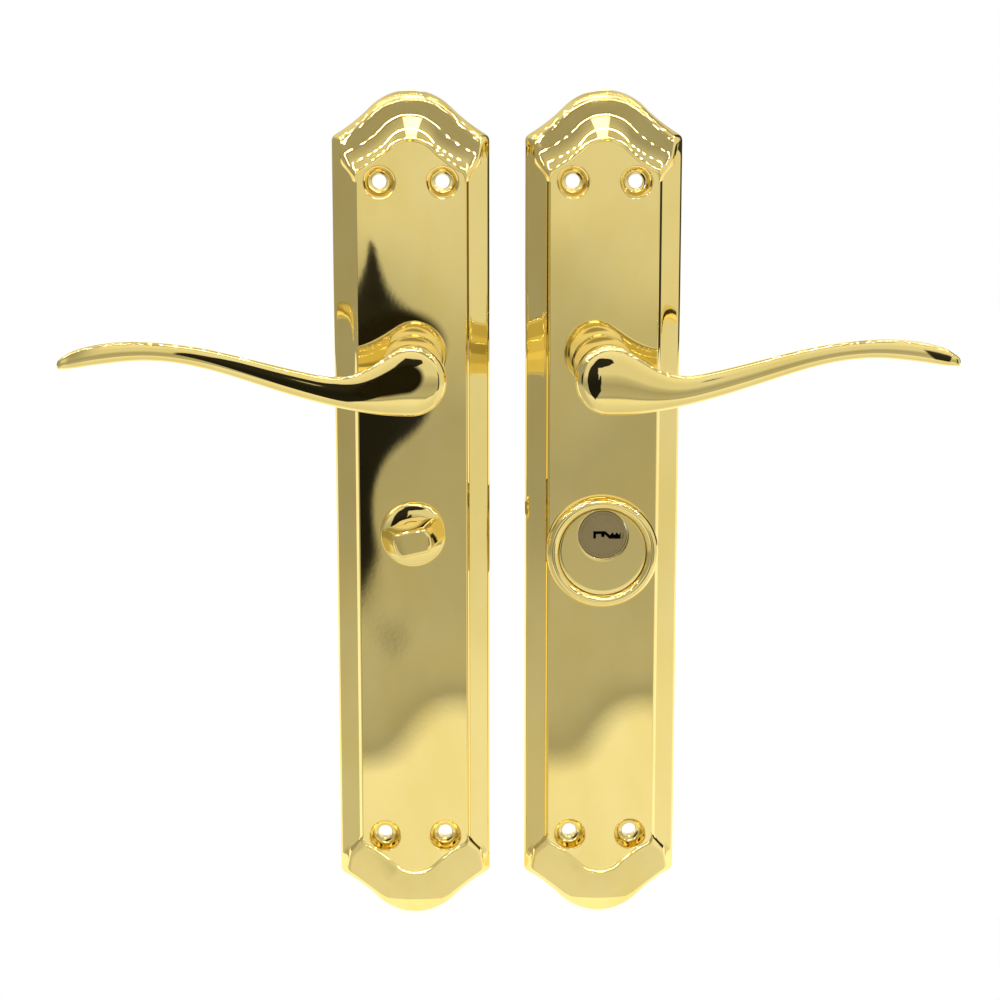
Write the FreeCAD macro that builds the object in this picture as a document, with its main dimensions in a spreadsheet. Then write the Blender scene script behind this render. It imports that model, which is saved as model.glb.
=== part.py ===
import FreeCAD, Part
import math
import os
import PartDesign
import Sketcher
from FreeCAD import Placement, Rotation, Vector

# A lever handle set for one door: an outside unit with a cylinder guard and an inside unit with a thumbturn.
# Both back plates have their door side in the plane Y = 0 and their show side towards -Y. Z points up.
# The origin is the middle of the outside plate's screw pattern. Heights above the door are along -Y.

doc = FreeCAD.newDocument("lever_handle_set")
sheet = doc.addObject("Spreadsheet::Sheet", "sizes")

# Driving dimensions in millimetres, or degrees where the name says angle.
DRIVING = [
    # the two pressed back plates
    ("unit_spacing", 67.5, "middle of the outside plate to middle of the inside plate"),
    ("plate_length", 300.0, "apex to apex"),
    ("plate_width", 55.0, "over the long edges"),
    ("corner_drop", 16.0, "apex to the shoulder corner, along the plate"),
    ("crown_radius", 20.0, "round top of the ogee outline"),
    ("sheet_gauge", 1.2, "wall of the pressed sheet"),
    ("rim_height", 1.8, "straight edge that stands on the door"),
    ("shoulder_height", 3.0, "top of the rounded edge"),
    ("shoulder_inset", 0.8, "rounded edge, across the long side"),
    ("shoulder_drop", 1.3, "rounded edge, along the plate"),
    ("crease_height", 5.6, "first crease of the hood"),
    ("crease_inset", 3.6, "first crease, across"),
    ("crease_drop", 8.8, "first crease, along the plate at the apex"),
    ("crease_corner_drop", 6.6, "first crease, along the plate at the corner"),
    ("crease_crown", 15.0, "crown radius of the first crease"),
    ("cove_height", 6.4, "foot of the cove round the panel"),
    ("cove_inset", 6.0, "foot of the cove, across"),
    ("cove_drop", 13.0, "foot of the cove at the apex"),
    ("cove_corner_drop", 9.6, "foot of the cove at the corner"),
    ("cove_crown", 12.4, "crown radius at the foot of the cove"),
    ("lap_height", 7.2, "middle of the cove"),
    ("lap_inset", 7.6, "middle of the cove, across"),
    ("lap_drop", 14.8, "middle of the cove at the apex"),
    ("lap_corner_drop", 10.8, "middle of the cove at the corner"),
    ("lap_crown", 11.3, "crown radius in the middle of the cove"),
    ("panel_height", 8.0, "raised middle panel above the door"),
    ("panel_inset", 8.6, "edge of the panel, across"),
    ("panel_drop", 16.2, "edge of the panel at the apex"),
    ("panel_corner_drop", 11.8, "edge of the panel at the corner"),
    ("panel_crown", 10.6, "crown radius of the panel edge"),
    ("lip_width", 1.4, "narrow lip between hood and panel"),
    ("lip_rise", 0.5, "lip above the panel"),
    ("screw_spacing_across", 22.0, "plate screws, across"),
    ("screw_spacing_along", 237.0, "plate screws, along"),
    ("screw_hole_radius", 2.5, "clearance hole of a plate screw"),
    ("dish_radius", 6.0, "mouth of a stamped screw dish"),
    ("dish_foot_radius", 4.4, "floor of a stamped screw dish"),
    ("dish_depth", 4.0, "floor below the panel"),
    ("lever_axis_up", 54.0, "lever axis above the middle of the plate"),
    ("cylinder_axis_down", 6.0, "cylinder and thumbturn axis below the middle of the plate"),
    # lever, neck and what carries it
    ("head_radius", 12.1, "round end of the lever"),
    ("head_front", 48.0, "front of the lever above the door"),
    ("head_depth", 12.0, "round end, front to back"),
    ("lever_reach", 119.0, "axis to tip"),
    ("arm_rise", 10.4, "middle of the arm at its crest above the axis"),
    ("arm_thickness", 8.4, "arm, front to back, in the middle of its length"),
    ("arm_edge", 1.2, "rounded front edge of head and arm"),
    ("head_dome", 0.6, "crown of the round end's front"),
    ("neck_radius", 10.6, "foot of the neck on the plate"),
    ("waist_radius", 9.8, "thinnest part of the neck"),
    ("neck_gap", 0.3, "foot of the neck above the panel"),
    ("shank_radius", 8.0, "turned end of the lever in its bush"),
    ("running_clearance", 0.05, "shaft in its hole, on the radius"),
    ("bush_wall", 1.4, "sleeve of the bush"),
    ("bush_flange_radius", 13.0, "flange of the bush behind the sheet"),
    ("bush_flange_thickness", 0.8, "flange of the bush"),
    ("seat_gap", 0.1, "between a face that turns and a face that stands"),
    ("spindle_square", 8.0, "across the flats"),
    ("spindle_length", 95.0, "whole square bar"),
    ("spindle_front", 24.0, "front end of the bar above the door"),
    ("socket_clearance", 0.05, "square bar in its socket, on each flat"),
    ("socket_depth", 26.0, "floor of the socket above the door"),
    ("drive_plate_radius", 11.8, "disc that turns with the lever"),
    ("drive_plate_thickness", 1.4, "disc that turns with the lever"),
    ("drive_plate_height", 0.4, "back of the disc above the door"),
    ("finger_reach", 15.8, "finger of the disc, from the axis"),
    ("finger_width", 3.0, "finger of the disc"),
    ("finger_gauge", 1.0, "bent end of the finger, across"),
    ("finger_height", 4.6, "bent end of the finger above the door"),
    ("finger_angle", 112.0, "finger at rest, from the horizontal"),
    ("clip_thickness", 1.0, "retaining ring"),
    ("clip_width", 2.2, "retaining ring, inside to outside"),
    ("groove_depth", 0.7, "groove of the retaining ring"),
    ("clip_mouth", 6.0, "mouth of the retaining ring"),
    ("shank_tail", 1.4, "turned end of the lever behind the door plane"),
    ("shank_flats_width", 14.0, "across the two flats of the shank"),
    ("grub_radius", 2.5, "set screw under the neck"),
    ("grub_height", 12.5, "set screw above the door"),
    ("grub_length", 4.5, "set screw under the neck"),
    ("hex_key", 2.5, "across the flats of its key"),
    ("hex_depth", 2.6, "key socket of the set screw"),
    # return spring and its cup
    ("cup_radius", 17.0, "outside of the pressed cup"),
    ("cup_wall", 0.8, "wall of the pressed cup"),
    ("cup_height", 0.8, "open edge of the cup above the door"),
    ("spring_wire", 1.1, "wire of the return spring"),
    ("spring_radius", 13.5, "middle of the wire"),
    ("spring_pitch", 1.7, "rise for one turn"),
    ("spring_turns", 1.75, "turns between the legs"),
    ("travel_angle", 45.0, "lever, rest to fully down"),
    ("leg_reach", 15.8, "end of a spring leg, from the axis"),
    ("leg_bend", 1.2, "bend where the coil turns into a leg"),
    ("lug_width", 2.0, "lugs in the cup, for the spring and the two stops"),
    ("lug_reach", 14.6, "inner end of a lug, from the axis"),
    ("lug_height", 3.5, "lower end of a lug above the door"),
    # cylinder guard
    ("ring_radius", 20.0, "outside of the guard ring"),
    ("ring_rise", 4.8, "crown of the ring above the panel"),
    ("ring_bead", 4.4, "rounded bead of the ring, across"),
    ("ring_drop", 6.5, "middle of the ring below the plug axis"),
    ("disc_thickness", 1.6, "cover disc"),
    ("disc_gap", 0.1, "cover disc in its ring"),
    ("disc_hole_radius", 8.6, "hole for the cylinder"),
    ("floor_thickness", 1.6, "floor of the ring under the disc"),
    ("guard_screw_radius", 1.5, "screw from behind into the ring"),
    ("guard_screw_across", 15.0, "screw from the middle of the ring"),
    ("guard_screw_down", 8.9, "screw below the middle of the ring"),
    ("guard_screw_head_radius", 2.8, "pan head"),
    ("guard_screw_head_height", 1.8, "pan head"),
    ("guard_screw_bite", 3.0, "thread in the ring"),
    ("bridge_width", 35.2, "steel bridge behind the panel"),
    ("bridge_length", 36.0, "steel bridge, along the plate"),
    ("bridge_thickness", 1.5, "steel bridge"),
    # profile cylinder
    ("barrel_radius", 8.5, "round head of the cylinder profile"),
    ("web_width", 10.0, "web of the cylinder profile"),
    ("web_depth", 19.5, "middle of the web's round end below the plug axis"),
    ("profile_clearance", 0.4, "cylinder in the sheet, the floor and the bridge"),
    ("barrel_front", 11.4, "front of the cylinder above the door"),
    ("barrel_front_length", 35.0, "front of the cylinder to the middle of the cam"),
    ("barrel_back_length", 10.0, "middle of the cam to the back"),
    ("cam_slot", 10.0, "width of the slot for the cam"),
    ("cam_slot_depth", 16.2, "slot below the plug axis"),
    ("plug_radius", 6.5, "plug"),
    ("plug_head_radius", 7.4, "front flange of the plug"),
    ("plug_head_thickness", 1.2, "front flange of the plug"),
    ("plug_tail_radius", 4.5, "tail of the plug in the cam"),
    ("keyway_width", 11.0, "keyway, from its closed end out to the rim"),
    ("keyway_start", 3.4, "closed end of the keyway from the middle"),
    ("keyway_height", 2.8, "keyway"),
    ("keyway_depth", 27.0, "keyway, front to back"),
    ("nose_lap", 1.0, "turned nose of the cylinder, sunk into its profile"),
    ("cam_width", 8.8, "cam"),
    ("cam_hub_radius", 8.4, "cam hub"),
    ("cam_reach", 15.4, "nose of the cam from the axis"),
    ("cam_nose_width", 7.6, "nose of the cam"),
    ("cam_angle", 30.0, "nose at rest, from straight down"),
    ("fixing_hole_radius", 2.5, "hole for the screw from the door's edge"),
    ("fixing_hole_drop", 20.3, "that hole below the plug axis"),
    ("pin_radius", 1.4, "pins"),
    ("pin_bore_radius", 1.45, "pin chambers"),
    ("pin_pitch", 4.0, "pin to pin"),
    ("first_pin", 7.0, "first pin behind the front of the cylinder"),
    ("pin_gap", 0.15, "between the pins of one chamber"),
    ("pin_spring_radius", 1.15, "pin spring"),
    ("key_pin_length", 4.6, "pins in the plug"),
    ("driver_pin_length", 5.0, "pins in the web"),
    ("stopper_length", 1.8, "plug that closes a chamber"),
    # thumbturn
    ("foot_radius", 11.7, "round foot of the thumbturn"),
    ("foot_rise", 2.4, "round foot of the thumbturn"),
    ("grip_rise", 17.0, "front of the grip above the panel"),
    ("grip_waist_rise", 7.0, "halfway of the grip above the panel"),
    ("grip_thickness", 9.0, "grip, across its flats"),
    ("grip_root_radius", 11.2, "ends of the grip at its foot"),
    ("grip_waist_radius", 9.0, "ends of the grip halfway"),
    ("grip_front_radius", 6.6, "ends of the grip at the front"),
    ("grip_edge", 1.0, "broken edge of the grip and its foot"),
    ("turn_angle", 13.0, "grip at rest, from the horizontal"),
    ("stem_radius", 5.0, "turned stem in the plate"),
    ("stem_back", 3.4, "back of the stem above the door"),
    ("turn_square", 5.0, "square bar of the thumbturn"),
    ("turn_bar_length", 50.0, "square bar of the thumbturn"),
    ("turn_bar_bite", 14.0, "that bar in front of the door plane"),
    ("turn_bush_wall", 1.2, "sleeve of the small bush"),
    ("turn_bush_flange_radius", 8.6, "flange of the small bush"),
    ("turn_washer_radius", 8.0, "spring washer on the stem"),
    ("turn_washer_thickness", 0.8, "spring washer on the stem"),
    ("stem_groove_depth", 0.6, "groove of the stem's retaining ring"),
]


PIN_COUNT = 5
# The keyway's outline from its closed end, in shares of its width and height: an arch, a slant and a saw edge.
KEYWAY = [
    (0.0, 0.46), (0.0, -0.5), (0.09, -0.5), (0.09, 0.07), (0.255, 0.07), (0.27, -0.32), (0.355, -0.32),
    (0.38, 0.04), (0.52, -0.54), (1.0, -0.54), (1.0, 0.18), (0.89, 0.32), (0.836, -0.04), (0.764, 0.32),
    (0.69, -0.04), (0.62, 0.32), (0.545, -0.07), (0.39, 0.46),
]


class Size:
    """A length that keeps its value and the expression that gives it."""

    def __init__(self, value, text=None):
        self.value = float(value)
        self.text = text or repr(float(value))

    def __add__(self, other):
        other = as_size(other)
        return Size(self.value + other.value, f"({self.text} + {other.text})")

    def __sub__(self, other):
        other = as_size(other)
        return Size(self.value - other.value, f"({self.text} - {other.text})")

    def __mul__(self, other):
        other = as_size(other)
        return Size(self.value * other.value, f"({self.text} * {other.text})")

    def __truediv__(self, other):
        other = as_size(other)
        return Size(self.value / other.value, f"({self.text} / {other.text})")

    def __radd__(self, other):
        return as_size(other) + self

    def __rsub__(self, other):
        return as_size(other) - self

    def __rmul__(self, other):
        return as_size(other) * self

    def __neg__(self):
        return Size(-self.value, f"(-{self.text})")


def as_size(number):
    return number if isinstance(number, Size) else Size(number)


class Sizes:
    """The driving dimensions by name."""


S = Sizes()
for row, (name, value, note) in enumerate(DRIVING, 1):
    sheet.set(f"A{row}", note)
    sheet.set(f"B{row}", str(value))
    sheet.setAlias(f"B{row}", name)
    setattr(S, name, Size(value, f"sizes.{name}"))
doc.recompute()


def bind(item, path, size):
    size = as_size(size)
    item.setExpression(path, size.text)


def stand(item, x, z, angle=0):
    """Put an item's origin on the door plane at x, z, turned anticlockwise as seen from the front."""
    turn = Rotation(Vector(0, -1, 0), as_size(angle).value)
    item.Placement = Placement(Vector(as_size(x).value, 0, as_size(z).value), turn)
    bind(item, "Placement.Base.x", x)
    bind(item, "Placement.Base.z", z)
    return item


def new_body(label, x=0, z=0, angle=0):
    body = doc.addObject("PartDesign::Body", label)
    body.Label = label
    return stand(body, x, z, angle)


class Drawing:
    """A sketch on a body's own plane. Front views count height above the door along their normal."""

    def __init__(self, body, name, plane="XZ_Plane", height=0):
        self.body = body
        self.sketch = body.newObject("Sketcher::SketchObject", f"{body.Label}_{name}")
        support = next(f for f in body.Origin.OriginFeatures if f.Role == plane)
        self.sketch.AttachmentSupport = [(support, "")]
        self.sketch.MapMode = "FlatFace"
        if plane == "XY_Plane":
            # The half section of a turned piece: radius to the right, height above the door upwards.
            # Height then counts downwards from the body's origin.
            height = -as_size(height)
            turn = Rotation(Vector(1, 0, 0), 180)
        else:
            turn = Rotation()
        self.sketch.AttachmentOffset = Placement(Vector(0, 0, as_size(height).value), turn)
        bind(self.sketch, "AttachmentOffset.Base.z", height)

    def rule(self, *constraint, size=None):
        if size is None:
            return self.sketch.addConstraint(Sketcher.Constraint(*constraint))
        index = self.sketch.addConstraint(Sketcher.Constraint(*constraint, size.value))
        bind(self.sketch, f"Constraints[{index}]", size)
        return index

    def place(self, item, point, x, y):
        """Hold one point of an item at x, y from the origin."""
        if isinstance(x, (int, float)) and x == 0:
            self.rule("PointOnObject", item, point, -2)
        else:
            self.rule("DistanceX", -1, 1, item, point, size=as_size(x))
        if isinstance(y, (int, float)) and y == 0:
            self.rule("PointOnObject", item, point, -1)
        else:
            self.rule("DistanceY", -1, 1, item, point, size=as_size(y))

    def circle(self, x, y, radius):
        centre = Vector(as_size(x).value, as_size(y).value, 0)
        item = self.sketch.addGeometry(Part.Circle(centre, Vector(0, 0, 1), radius.value))
        self.place(item, 3, x, y)
        self.rule("Radius", item, size=radius)
        return self

    def outline(self, corners):
        """A closed outline through pairs of sizes. A third item makes the next run a half round."""
        points = [Vector(as_size(corner[0]).value, as_size(corner[1]).value, 0) for corner in corners]
        runs = []
        for corner, start, end in zip(corners, points, points[1:] + points[:1]):
            if len(corner) == 3:
                centre = (start + end) * 0.5
                round_run = Part.Circle(centre, Vector(0, 0, 1), (end - start).Length / 2)
                runs.append(self.sketch.addGeometry(Part.ArcOfCircle(round_run, 0, math.pi)))
            else:
                runs.append(self.sketch.addGeometry(Part.LineSegment(start, end)))
        for run, corner in zip(runs, corners):
            self.place(run, 1, corner[0], corner[1])
            if len(corner) == 3:
                self.rule("DistanceY", -1, 1, run, 3, size=as_size(corner[1]))
        for run, following in zip(runs, runs[1:] + runs[:1]):
            self.rule("Coincident", run, 2, following, 1)
        return self

    def spoke(self, angle, near, far, width):
        """A bar that points away from the origin, from radius near to radius far."""
        along = Vector(math.cos(math.radians(angle)), math.sin(math.radians(angle)), 0)
        half = width / 2
        corners = []
        for reach, side in ((near, -1), (far, -1), (far, 1), (near, 1)):
            x = reach * along.x - half * (side * along.y)
            y = reach * along.y + half * (side * along.x)
            corners.append((x, y))
        return self.outline(corners)

    def arc(self, centre, radius, begin, end):
        """An arc about a centre that is given in sizes, between two angles in radians."""
        middle = Vector(as_size(centre[0]).value, as_size(centre[1]).value, 0)
        circle = Part.Circle(middle, Vector(0, 0, 1), radius.value)
        item = self.sketch.addGeometry(Part.ArcOfCircle(circle, begin, end))
        self.rule("Radius", item, size=radius)
        self.place(item, 3, *centre)
        return item

    def join(self, first, second):
        """A straight line between the ends of two items, each given as item and point."""
        ends = [self.sketch.getPoint(*end) for end in (first, second)]
        line = self.sketch.addGeometry(Part.LineSegment(*ends))
        self.rule("Coincident", line, 1, *first)
        self.rule("Coincident", line, 2, *second)
        return line

    def flatted_round(self, radius, across_flats):
        """A circle about the origin with two level flats."""
        half = across_flats / 2
        rise = math.asin(half.value / radius.value)
        right = self.arc((0, 0), radius, -rise, rise)
        left = self.arc((0, 0), radius, math.pi - rise, math.pi + rise)
        top = self.join((right, 2), (left, 1))
        low = self.join((left, 2), (right, 1))
        for line, side in ((top, 1), (low, -1)):
            self.rule("Horizontal", line)
            self.rule("DistanceY", -1, 1, line, 1, size=half * side)
        return self

    def lock_profile(self, clearance, up=0):
        """The keyhole outline of a profile cylinder: a round head on a web with a round end."""
        head = S.barrel_radius + clearance
        half = S.web_width / 2 + clearance
        depth = S.web_depth - up
        meet = math.acos(half.value / head.value)
        top = self.arc((0, up), head, -meet, math.pi + meet)
        foot = self.arc((0, -depth), half, math.pi, 2 * math.pi)
        for head_end, foot_end in ((1, 2), (2, 1)):
            line = self.sketch.addGeometry(
                Part.LineSegment(self.sketch.getPoint(top, head_end), self.sketch.getPoint(foot, foot_end))
            )
            self.rule("Coincident", line, 1, top, head_end)
            self.rule("Tangent", line, 2, foot, foot_end)
            self.rule("Vertical", line)
        return self

    def hexagon(self, x, y, across_flats):
        """A hexagon about x, y with two of its flats upright."""
        corners = []
        for index in range(6):
            angle = math.radians(60 * index + 30)
            reach = across_flats / math.sqrt(3)
            corners.append((x + reach * math.cos(angle), y + reach * math.sin(angle)))
        return self.outline(corners)

    def box(self, x, y, width, length):
        """A rectangle about the point x, y."""
        left, right = x - width / 2, x + width / 2
        low, high = y - length / 2, y + length / 2
        return self.outline([(left, low), (right, low), (right, high), (left, high)])

    def feature(self, kind, name, **settings):
        item = self.body.newObject(f"PartDesign::{kind}", f"{self.body.Label}_{name}")
        item.Profile = self.sketch
        for key, setting in settings.items():
            if isinstance(setting, Size):
                setattr(item, key, setting.value)
                bind(item, key, setting)
            else:
                setattr(item, key, setting)
        return item

    def pad(self, name, length, **settings):
        return self.feature("Pad", name, Length=as_size(length), **settings)

    def pocket(self, name, depth, **settings):
        """Cut from the drawing's height towards the door."""
        doc.recompute()
        before = self.body.Shape.Volume
        item = self.feature("Pocket", name, Length=as_size(depth), **settings)
        doc.recompute()
        if self.body.Shape.Volume >= before:
            raise SystemExit(f"{item.Name} cuts nothing")
        return item

    def turn(self, name, kind="Revolution"):
        item = self.feature(kind, name)
        item.ReferenceAxis = (self.sketch, ["V_Axis"])
        item.Angle = 360.0
        return item


def plain(label, shape, x=0, z=0):
    """A part whose form is worked out with shape functions from the sheet's values."""
    item = doc.addObject("Part::Feature", label)
    item.Label = label
    item.Shape = shape
    return stand(item, x, z)


def turned(label, half_section, x=0, z=0, angle=0):
    """A piece turned about its own axis, from a closed half section of radius and height pairs."""
    body = new_body(label, x, z, angle)
    Drawing(body, "section", "XY_Plane").outline(half_section).turn("turning")
    return body


# The pressed plates. Each level line is the ogee outline drawn in, at its own height above the door.
CROWN_HALF_ANGLE = 45.0
SINE = math.sin(math.radians(CROWN_HALF_ANGLE))
COSINE = math.cos(math.radians(CROWN_HALF_ANGLE))
ZERO = Size(0)
LEVELS = [
    # height, inset across, drop at the apex, drop at the corner, crown radius
    (ZERO, ZERO, ZERO, ZERO, S.crown_radius),
    (S.rim_height, ZERO, ZERO, ZERO, S.crown_radius),
    (S.shoulder_height, S.shoulder_inset, S.shoulder_drop, S.shoulder_drop, S.crown_radius - S.shoulder_drop),
    (S.crease_height, S.crease_inset, S.crease_drop, S.crease_corner_drop, S.crease_crown),
    (S.cove_height, S.cove_inset, S.cove_drop, S.cove_corner_drop, S.cove_crown),
    (S.lap_height, S.lap_inset, S.lap_drop, S.lap_corner_drop, S.lap_crown),
    (S.panel_height, S.panel_inset, S.panel_drop, S.panel_corner_drop, S.panel_crown),
]
# How far the inner skin lies below and inside each level, in sheet gauges.
INNER_SHIFT = [(0.0, 1.0), (0.4, 1.0), (0.85, 0.7), (0.95, 0.4), (0.95, 0.4), (0.8, 0.7), (1.0, 0.4)]


def arc_between(centre, first, last):
    """The shorter arc about centre, always drawn counter-clockwise."""
    radius = (first - centre).Length
    begin = math.atan2(first.y - centre.y, first.x - centre.x)
    end = math.atan2(last.y - centre.y, last.x - centre.x)
    if (end - begin) % (2 * math.pi) > math.pi:
        begin, end = end, begin
    return Part.ArcOfCircle(Part.Circle(centre, Vector(0, 0, 1), radius), begin, end)


def flank_arc(start, tangent, end):
    """The arc that leaves start along tangent and reaches end."""
    chord = end - start
    normal = Vector(-tangent.y, tangent.x, 0)
    radius = chord.dot(chord) / (2 * chord.dot(normal))
    return arc_between(start + normal * radius, start, end)


def ogee_arcs(drawing, up, side, corner, apex, radius):
    """Crown and two flanks at the top (up 1) or the bottom (up -1). Gives the free ends, right then left."""
    sketch = drawing.sketch
    joint = Vector(radius.value * SINE, apex.value - radius.value * (1 - COSINE), 0)
    shoulder = Vector(side.value, corner.value, 0)
    leaving = Vector(COSINE, -SINE, 0)

    def at(point, right):
        return Vector(point.x * right, point.y * up, 0)

    def end_at(item, point):
        return 1 if (sketch.getPoint(item, 1) - point).Length < (sketch.getPoint(item, 2) - point).Length else 2

    centre = Vector(0, (apex - radius).value * up, 0)
    crown = sketch.addGeometry(arc_between(centre, at(joint, 1), at(joint, -1)))
    drawing.place(crown, 3, 0, (apex - radius) * up)
    drawing.rule("Radius", crown, size=radius)
    free_ends = []
    for right in (1, -1):
        flank = sketch.addGeometry(flank_arc(at(joint, right), at(leaving, right), at(shoulder, right)))
        crown_end = end_at(crown, at(joint, right))
        free_end = end_at(flank, at(shoulder, right))
        drawing.rule("Tangent", flank, 3 - free_end, crown, crown_end)
        drawing.rule("DistanceX", -1, 1, crown, crown_end, size=radius * (SINE * right))
        drawing.place(flank, free_end, side * right, corner * up)
        free_ends.append((flank, free_end))
    return free_ends


def ogee_drawing(body, name, level, shift=(0.0, 0.0)):
    """One level line of the plate: two straight sides, four flanks and two crowns."""
    height, inset, drop, corner_drop, crown = level
    down, inward = (S.sheet_gauge * share for share in shift)
    side = S.plate_width / 2 - inset - inward
    apex = S.plate_length / 2 - drop - inward
    corner = S.plate_length / 2 - S.corner_drop - corner_drop - inward
    drawing = Drawing(body, name, height=height - down)
    top_ends = ogee_arcs(drawing, 1, side, corner, apex, crown - inward)
    low_ends = ogee_arcs(drawing, -1, side, corner, apex, crown - inward)
    for top_end, low_end in zip(top_ends, low_ends):
        drawing.join(top_end, low_end)
    return drawing.sketch


def hood_lip(body, up):
    """The narrow lip where the hood steps down to the panel."""
    drawing = Drawing(body, "lip_top" if up > 0 else "lip_low", height=S.panel_height - S.sheet_gauge / 2)
    side = S.plate_width / 2 - S.panel_inset
    apex = S.plate_length / 2 - S.panel_drop
    corner = S.plate_length / 2 - S.corner_drop - S.panel_corner_drop
    outer_ends = ogee_arcs(drawing, up, side, corner, apex, S.panel_crown)
    inner_ends = ogee_arcs(
        drawing, up, side, corner - S.lip_width, apex - S.lip_width, S.panel_crown - S.lip_width
    )
    for outer_end, inner_end in zip(outer_ends, inner_ends):
        drawing.join(outer_end, inner_end)
    drawing.pad("lip_top_pad" if up > 0 else "lip_low_pad", S.lip_rise + S.sheet_gauge / 2)


def loft(body, kind, sketches):
    item = body.newObject(f"PartDesign::{kind}", f"{body.Label}_{kind}")
    item.Profile = sketches[0]
    item.Sections = sketches[1:]
    item.Ruled = True
    return item


def pressed_plate(label, x):
    """The shell with its screw dishes and the lever's hole."""
    body = new_body(label, x)
    outer = [ogee_drawing(body, f"outer_{i}", level) for i, level in enumerate(LEVELS)]
    loft(body, "AdditiveLoft", outer)
    inner = [ogee_drawing(body, f"inner_{i}", *pair) for i, pair in enumerate(zip(LEVELS, INNER_SHIFT))]
    loft(body, "SubtractiveLoft", inner)
    for up in (1, -1):
        hood_lip(body, up)
    doc.recompute()
    places = [(S.screw_spacing_across * i / 2, S.screw_spacing_along * k / 2) for i in (-1, 1) for k in (-1, 1)]
    dish_floor = S.panel_height - S.dish_depth
    # A drawn collar under each dish stands on the door, so that the screw doesn't bend the hollow shell.
    collars = Drawing(body, "collars")
    bosses = Drawing(body, "dish_backs", height=dish_floor - S.sheet_gauge)
    mouths = Drawing(body, "dish_mouths", height=S.panel_height)
    holes = Drawing(body, "screw_holes", height=S.panel_height)
    for across, along in places:
        collars.circle(across, along, S.screw_hole_radius + S.sheet_gauge)
        bosses.circle(across, along, S.dish_radius + S.sheet_gauge)
        mouths.circle(across, along, S.dish_radius)
        holes.circle(across, along, S.screw_hole_radius)
    collars.pad("collar_walls", dish_floor - S.sheet_gauge / 2)
    bosses.pad("dish_walls", S.dish_depth + S.sheet_gauge / 2)
    slope = math.degrees(math.atan2(S.dish_radius.value - S.dish_foot_radius.value, S.dish_depth.value))
    mouths.pocket("dishes", S.dish_depth, TaperAngle=-slope)
    holes.pocket("holes", S.panel_height)
    lever_hole = Drawing(body, "lever_hole", height=S.panel_height)
    lever_hole.circle(0, S.lever_axis_up, S.shank_radius + S.running_clearance + S.bush_wall)
    lever_hole.pocket("lever_opening", S.sheet_gauge * 2)
    return body


inside_x = -S.unit_spacing
lever_z = S.lever_axis_up
plug_z = -S.cylinder_axis_down
ring_z = -(S.cylinder_axis_down + S.ring_drop)
panel_back = S.panel_height - S.sheet_gauge
ring_floor = S.panel_height + S.floor_thickness
disc_front = ring_floor + S.disc_thickness
screw_sides = [S.guard_screw_across, -S.guard_screw_across]

outside_plate = pressed_plate("outside_plate", 0)
profile_hole = Drawing(outside_plate, "profile_hole", height=S.panel_height)
profile_hole.lock_profile(S.profile_clearance, up=plug_z)
profile_hole.pocket("profile_opening", S.sheet_gauge * 2)
guard_holes = Drawing(outside_plate, "guard_holes", height=S.panel_height)
for across in screw_sides:
    guard_holes.circle(across, ring_z - S.guard_screw_down, S.guard_screw_radius + S.disc_gap)
guard_holes.pocket("guard_openings", S.sheet_gauge * 2)

inside_plate = pressed_plate("inside_plate", inside_x)
turn_hole = Drawing(inside_plate, "turn_hole", height=S.panel_height)
turn_hole.circle(0, plug_z, S.stem_radius + S.running_clearance + S.turn_bush_wall)
turn_hole.pocket("turn_opening", S.sheet_gauge * 2)


# The levers. Stations along the arm: share of the reach, then top and bottom in shares of the arm's rise,
# then back and front in shares of its thickness from the middle of its depth.
STATIONS = [
    (0.000, 1.02, -1.02, -1.30, 0.34),
    (0.050, 0.90, -1.12, -1.28, 0.38),
    (0.100, 0.58, -1.08, -1.22, 0.43),
    (0.150, 0.27, -0.99, -1.03, 0.47),
    (0.210, 0.13, -0.85, -0.81, 0.50),
    (0.290, 0.28, -0.61, -0.65, 0.50),
    (0.380, 0.53, -0.29, -0.56, 0.50),
    (0.470, 0.80, 0.05, -0.52, 0.49),
    (0.570, 1.08, 0.39, -0.50, 0.47),
    (0.670, 1.24, 0.64, -0.49, 0.44),
    (0.770, 1.31, 0.69, -0.47, 0.40),
    (0.860, 1.25, 0.58, -0.45, 0.33),
    (0.930, 1.08, 0.46, -0.43, 0.22),
    (0.975, 0.86, 0.40, -0.38, 0.06),
    (1.000, 0.64, 0.42, -0.28, -0.10),
]
# The middle of the arm's depth behind the front of the head, in arm thicknesses.
ARM_SET_BACK = 0.55
# Where the neck's outline bends, in shares of the way from its foot to the back of the head.
NECK_FOOT_TOP, NECK_WAIST_LOW, NECK_WAIST_HIGH = 0.05, 0.35, 0.65
# Where the neck has grown to the full width of the head, in shares of the head's depth.
NECK_SHOULDER = 0.25


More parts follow.
